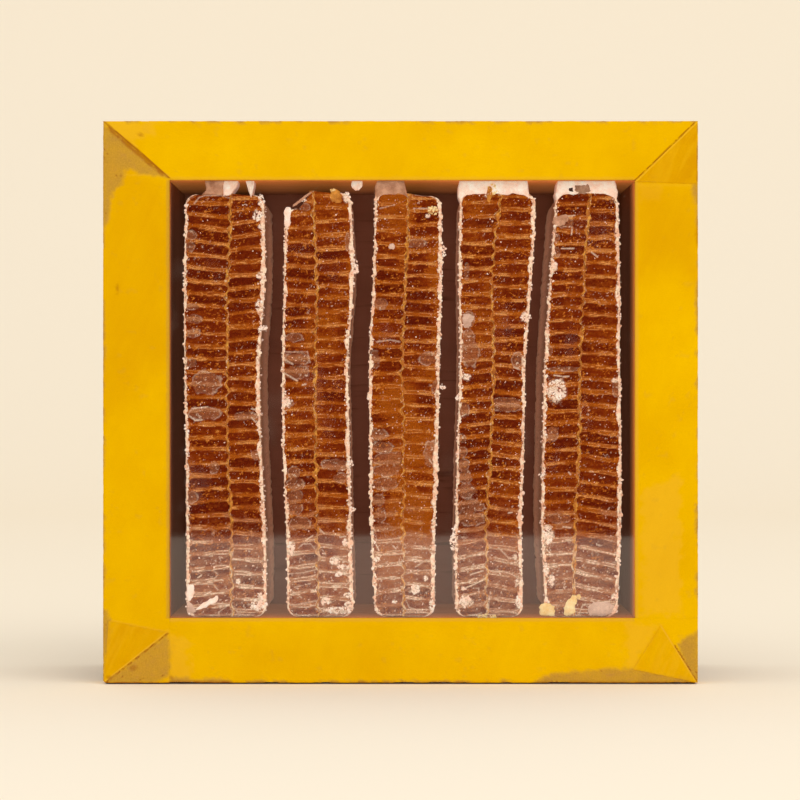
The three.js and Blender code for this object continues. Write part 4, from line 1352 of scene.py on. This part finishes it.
def make_flap(node, corners, raised, orange_amount, material):
    """A folded corner of paper: a thin three-sided sheet that bulges a little off the strip."""
    steps = 60
    u = np.linspace(0.004, 1, steps)[:, None]
    v = np.linspace(0, 1, steps)[None, :]
    apex, first, second = [np.array(c, float) for c in corners]
    edge = mix(first[None, None, :], second[None, None, :], v[..., None])
    flat = apex + u[..., None] * (edge - apex)
    x = flat[..., 0]
    z = flat[..., 1]
    x = x + 0.25 * sway(x / 3, z / 3, 221)
    z = z + 0.25 * sway(x / 3, z / 3, 223)
    rise = raised * np.sin(math.pi * np.clip(u, 0, 1)) * np.sin(math.pi * v)
    fold = 0.16 * sway(x / 2.2, z / 4, 225)
    y = FLAP_FRONT + 0.56 - rise + fold * np.sin(math.pi * v)
    y = np.clip(y, FLAP_FRONT + 0.02, TAPE_FRONT - 0.12)
    front = np.stack([x, y, z], axis=2)
    area = (first[0] - apex[0]) * (second[1] - apex[1]) - (first[1] - apex[1]) * (second[0] - apex[0])
    if area < 0:
        front = front[:, ::-1]
    shape = block(front, [TAPE_FRONT - 0.04])
    px, _, pz = shape[0].T
    border = np.abs(inside(px, pz, corners))
    orange = orange_amount * (0.75 + 0.5 * fractal(px / 4, pz / 4, 227))
    far = np.full(len(px), 9.0)
    wear, *others = paper_marks(px, pz, far, far, orange)
    worn = ramp(0.5, 0.1, border) * patchy(0.45, 0.7, px / 1.5, pz / 1.5, 229) * 0.25
    marks = [np.maximum(wear * 0.3, worn), *others]
    make_piece(node + "_look", shape, marks, material, "yellow_paper", [node])


# Each flap's node, its corners from the apex, how far it bulges and how orange it is.
FLAPS = [
    ("flap_top_right", [(110.9, 210.5), (87.9, 188.2), (110.7, 187.4)], 0.12, 0.95),
    ("flap_bottom_left", [(-110.9, 0.7), (-87.3, 19.4), (-109.3, 23.7)], 0.16, 0.6),
    ("flap_bottom_right", [(110.9, 0.8), (97.5, 22.1), (86.9, 5.6)], 0.14, 0.4),
]


# The case

EDGE_SOFTNESS = 0.5
# Each wooden node's material: its name, how fine its grain is along each axis, how much painted glow it
# has in front and at the back, how far back the painted light near the glass reaches, and how much painted
# shade darkens the wood behind that.
WOODS = {
    "board_bottom": ("wood_bottom", (0.12, 1, 1), 0.15, 0.07, -12, 0.1),
    "board_top": ("wood_top", (0.12, 1, 1), 0.33, 0.02, -3, 0.1),
    "board_left": ("wood_left", (1, 1, 0.12), 0.08, 0.012, -33, 0.35),
    "board_right": ("wood_right", (1, 1, 0.12), 0.3, 0.012, -27, 0.35),
    "back_panel": ("wood_back", (0.1, 1, 1), 0.017, 0.017, -12, 0),
}


def finish_nodes():
    """Wood and glass keep their solids: they get a finish and softened edges."""
    finishes = {node: wood_material(*looks) for node, looks in WOODS.items()}
    finishes["glass"] = glass_material()
    for node, material in finishes.items():
        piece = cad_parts[node]
        piece.data.materials.clear()
        piece.data.materials.append(material)
        if node != "glass":
            softened = piece.modifiers.new("softened", "BEVEL")
            softened.width = EDGE_SOFTNESS * MM
            softened.segments = 2
            softened.limit_method = "ANGLE"


# The studio, in metres: a pale sweep that runs up behind, lights, and a dark card that only the glass
# mirrors. The floor between the glass and the card is mirrored too.
CAMERA_HEIGHT = 0.1064
CAMERA_LEFT = 0.0002
CAMERA_AWAY = 1.094
LENS = 131.6
SENSOR = 36
CARD_AWAY = 1.18
CARD_HEIGHT = 2.6
SWEEP_HALF = 4.0
SWEEP_BEND = 1.6
SWEEP_RADIUS = 0.9
SWEEP_TOP = 3.2
SKY = 0.86
MIDDLE = (0, 0, 0.1)
# Each light's name, place, what it faces, its width and height, and its power.
LIGHTS = [
    ("front", (0.1, -2.4, 0.35), MIDDLE, (0.9, 0.5), 6),
    ("key", (0.9, -1.3, 1.6), MIDDLE, (1.6, 1.2), 8),
    ("top", (0, -0.6, 2.2), MIDDLE, (2.4, 1.6), 3),
    ("wall", (0, 0.9, 1.9), (0, 2.5, 1.2), (2.6, 0.6), 2),
]


def plain_mesh(name, points, faces, colour, roughness):
    made, tree = new_material(name)
    finish_material(tree, colour, roughness, 0.0)
    mesh = bpy.data.meshes.new(name)
    mesh.from_pydata(points, [], faces)
    mesh.polygons.foreach_set("use_smooth", np.ones(len(faces), bool))
    mesh.materials.append(made)
    stood = bpy.data.objects.new(name, mesh)
    bpy.context.scene.collection.objects.link(stood)
    return stood


def make_sweep():
    steps = 12
    profile = [(-SWEEP_HALF, 0.0), (SWEEP_BEND, 0.0)]
    for i in range(1, steps + 1):
        angle = math.pi / 2 * i / steps
        y = SWEEP_BEND + SWEEP_RADIUS * math.sin(angle)
        profile.append((y, SWEEP_RADIUS - SWEEP_RADIUS * math.cos(angle)))
    profile.append((SWEEP_BEND + SWEEP_RADIUS, SWEEP_TOP))
    points = [(side * SWEEP_HALF, y, z) for y, z in profile for side in (-1, 1)]
    faces = [(2 * i, 2 * i + 1, 2 * i + 3, 2 * i + 2) for i in range(len(profile) - 1)]
    plain_mesh("studio_sweep", points, faces, srgb(250, 238, 217), 0.95)


def make_dark_card():
    steps = 32
    points = []
    for i in range(steps + 1):
        angle = math.radians(-100 + 200 * i / steps)
        x = CARD_AWAY * math.sin(angle)
        y = GLASS_FRONT * MM - CARD_AWAY * math.cos(angle)
        points += [(x, y, 0.0005), (x, y, CARD_HEIGHT)]
    faces = [(2 * i, 2 * i + 2, 2 * i + 3, 2 * i + 1) for i in range(steps)]
    card = plain_mesh("dark_card", points, faces, (0.004, 0.003, 0.003, 1), 1.0)
    card.visible_camera = False
    card.visible_diffuse = False
    card.visible_shadow = False
    card.visible_transmission = False
    card.visible_volume_scatter = False


def make_light(name, place, aim, size, power):
    lamp = bpy.data.lights.new(name, "AREA")
    lamp.shape = "RECTANGLE"
    lamp.size, lamp.size_y = size
    lamp.energy = power
    made = bpy.data.objects.new(name, lamp)
    bpy.context.scene.collection.objects.link(made)
    made.location = place
    away = Vector(place) - Vector(aim)
    made.rotation_euler = away.to_track_quat("Z", "Y").to_euler()
    made.visible_camera = False
    made.visible_glossy = False


def make_studio():
    make_sweep()
    make_dark_card()
    for light in LIGHTS:
        make_light(*light)
    world = bpy.data.worlds.new("studio")
    world.use_nodes = True
    bpy.context.scene.world = world
    background = world.node_tree.nodes["Background"]
    background.inputs["Color"].default_value = (1, 1, 1, 1)
    background.inputs["Strength"].default_value = SKY
    camera = bpy.data.objects.new("camera", bpy.data.cameras.new("camera"))
    bpy.context.scene.collection.objects.link(camera)
    camera.data.lens = LENS
    camera.data.sensor_width = SENSOR
    camera.location = (-CAMERA_LEFT, FLAP_FRONT * MM - CAMERA_AWAY, CAMERA_HEIGHT)
    camera.rotation_euler = (math.pi / 2, 0, 0)
    bpy.context.scene.camera = camera
    bpy.context.scene.view_settings.view_transform = "Standard"


# Materials and pieces are made here.
waxes = {tint: lump_material(tint + "_wax", *looks) for tint, looks in WAXES.items()}
honey = honey_material()
midrib_wax = midrib_material()
capping = capping_material()
paper = paper_material()

for number, comb in enumerate(COMBS, 1):
    make_midrib(comb, number, midrib_wax)
    for side in SIGN:
        make_cells(comb, number, side, honey)
        make_cap(comb, number, side, capping)
    make_crumbs(comb, number, waxes["white"], waxes["yellow"])
for number, (corners, tint) in enumerate(PATCHES, 1):
    make_patch(number, corners, waxes[tint])
for name, foot, left, right, deep, tint in BURR:
    make_burr(name, foot, left, right, deep, waxes[tint])
make_paper(paper)
for node, corners, raised, orange in FLAPS:
    make_flap(node, corners, raised, orange, paper)
finish_nodes()
make_studio()
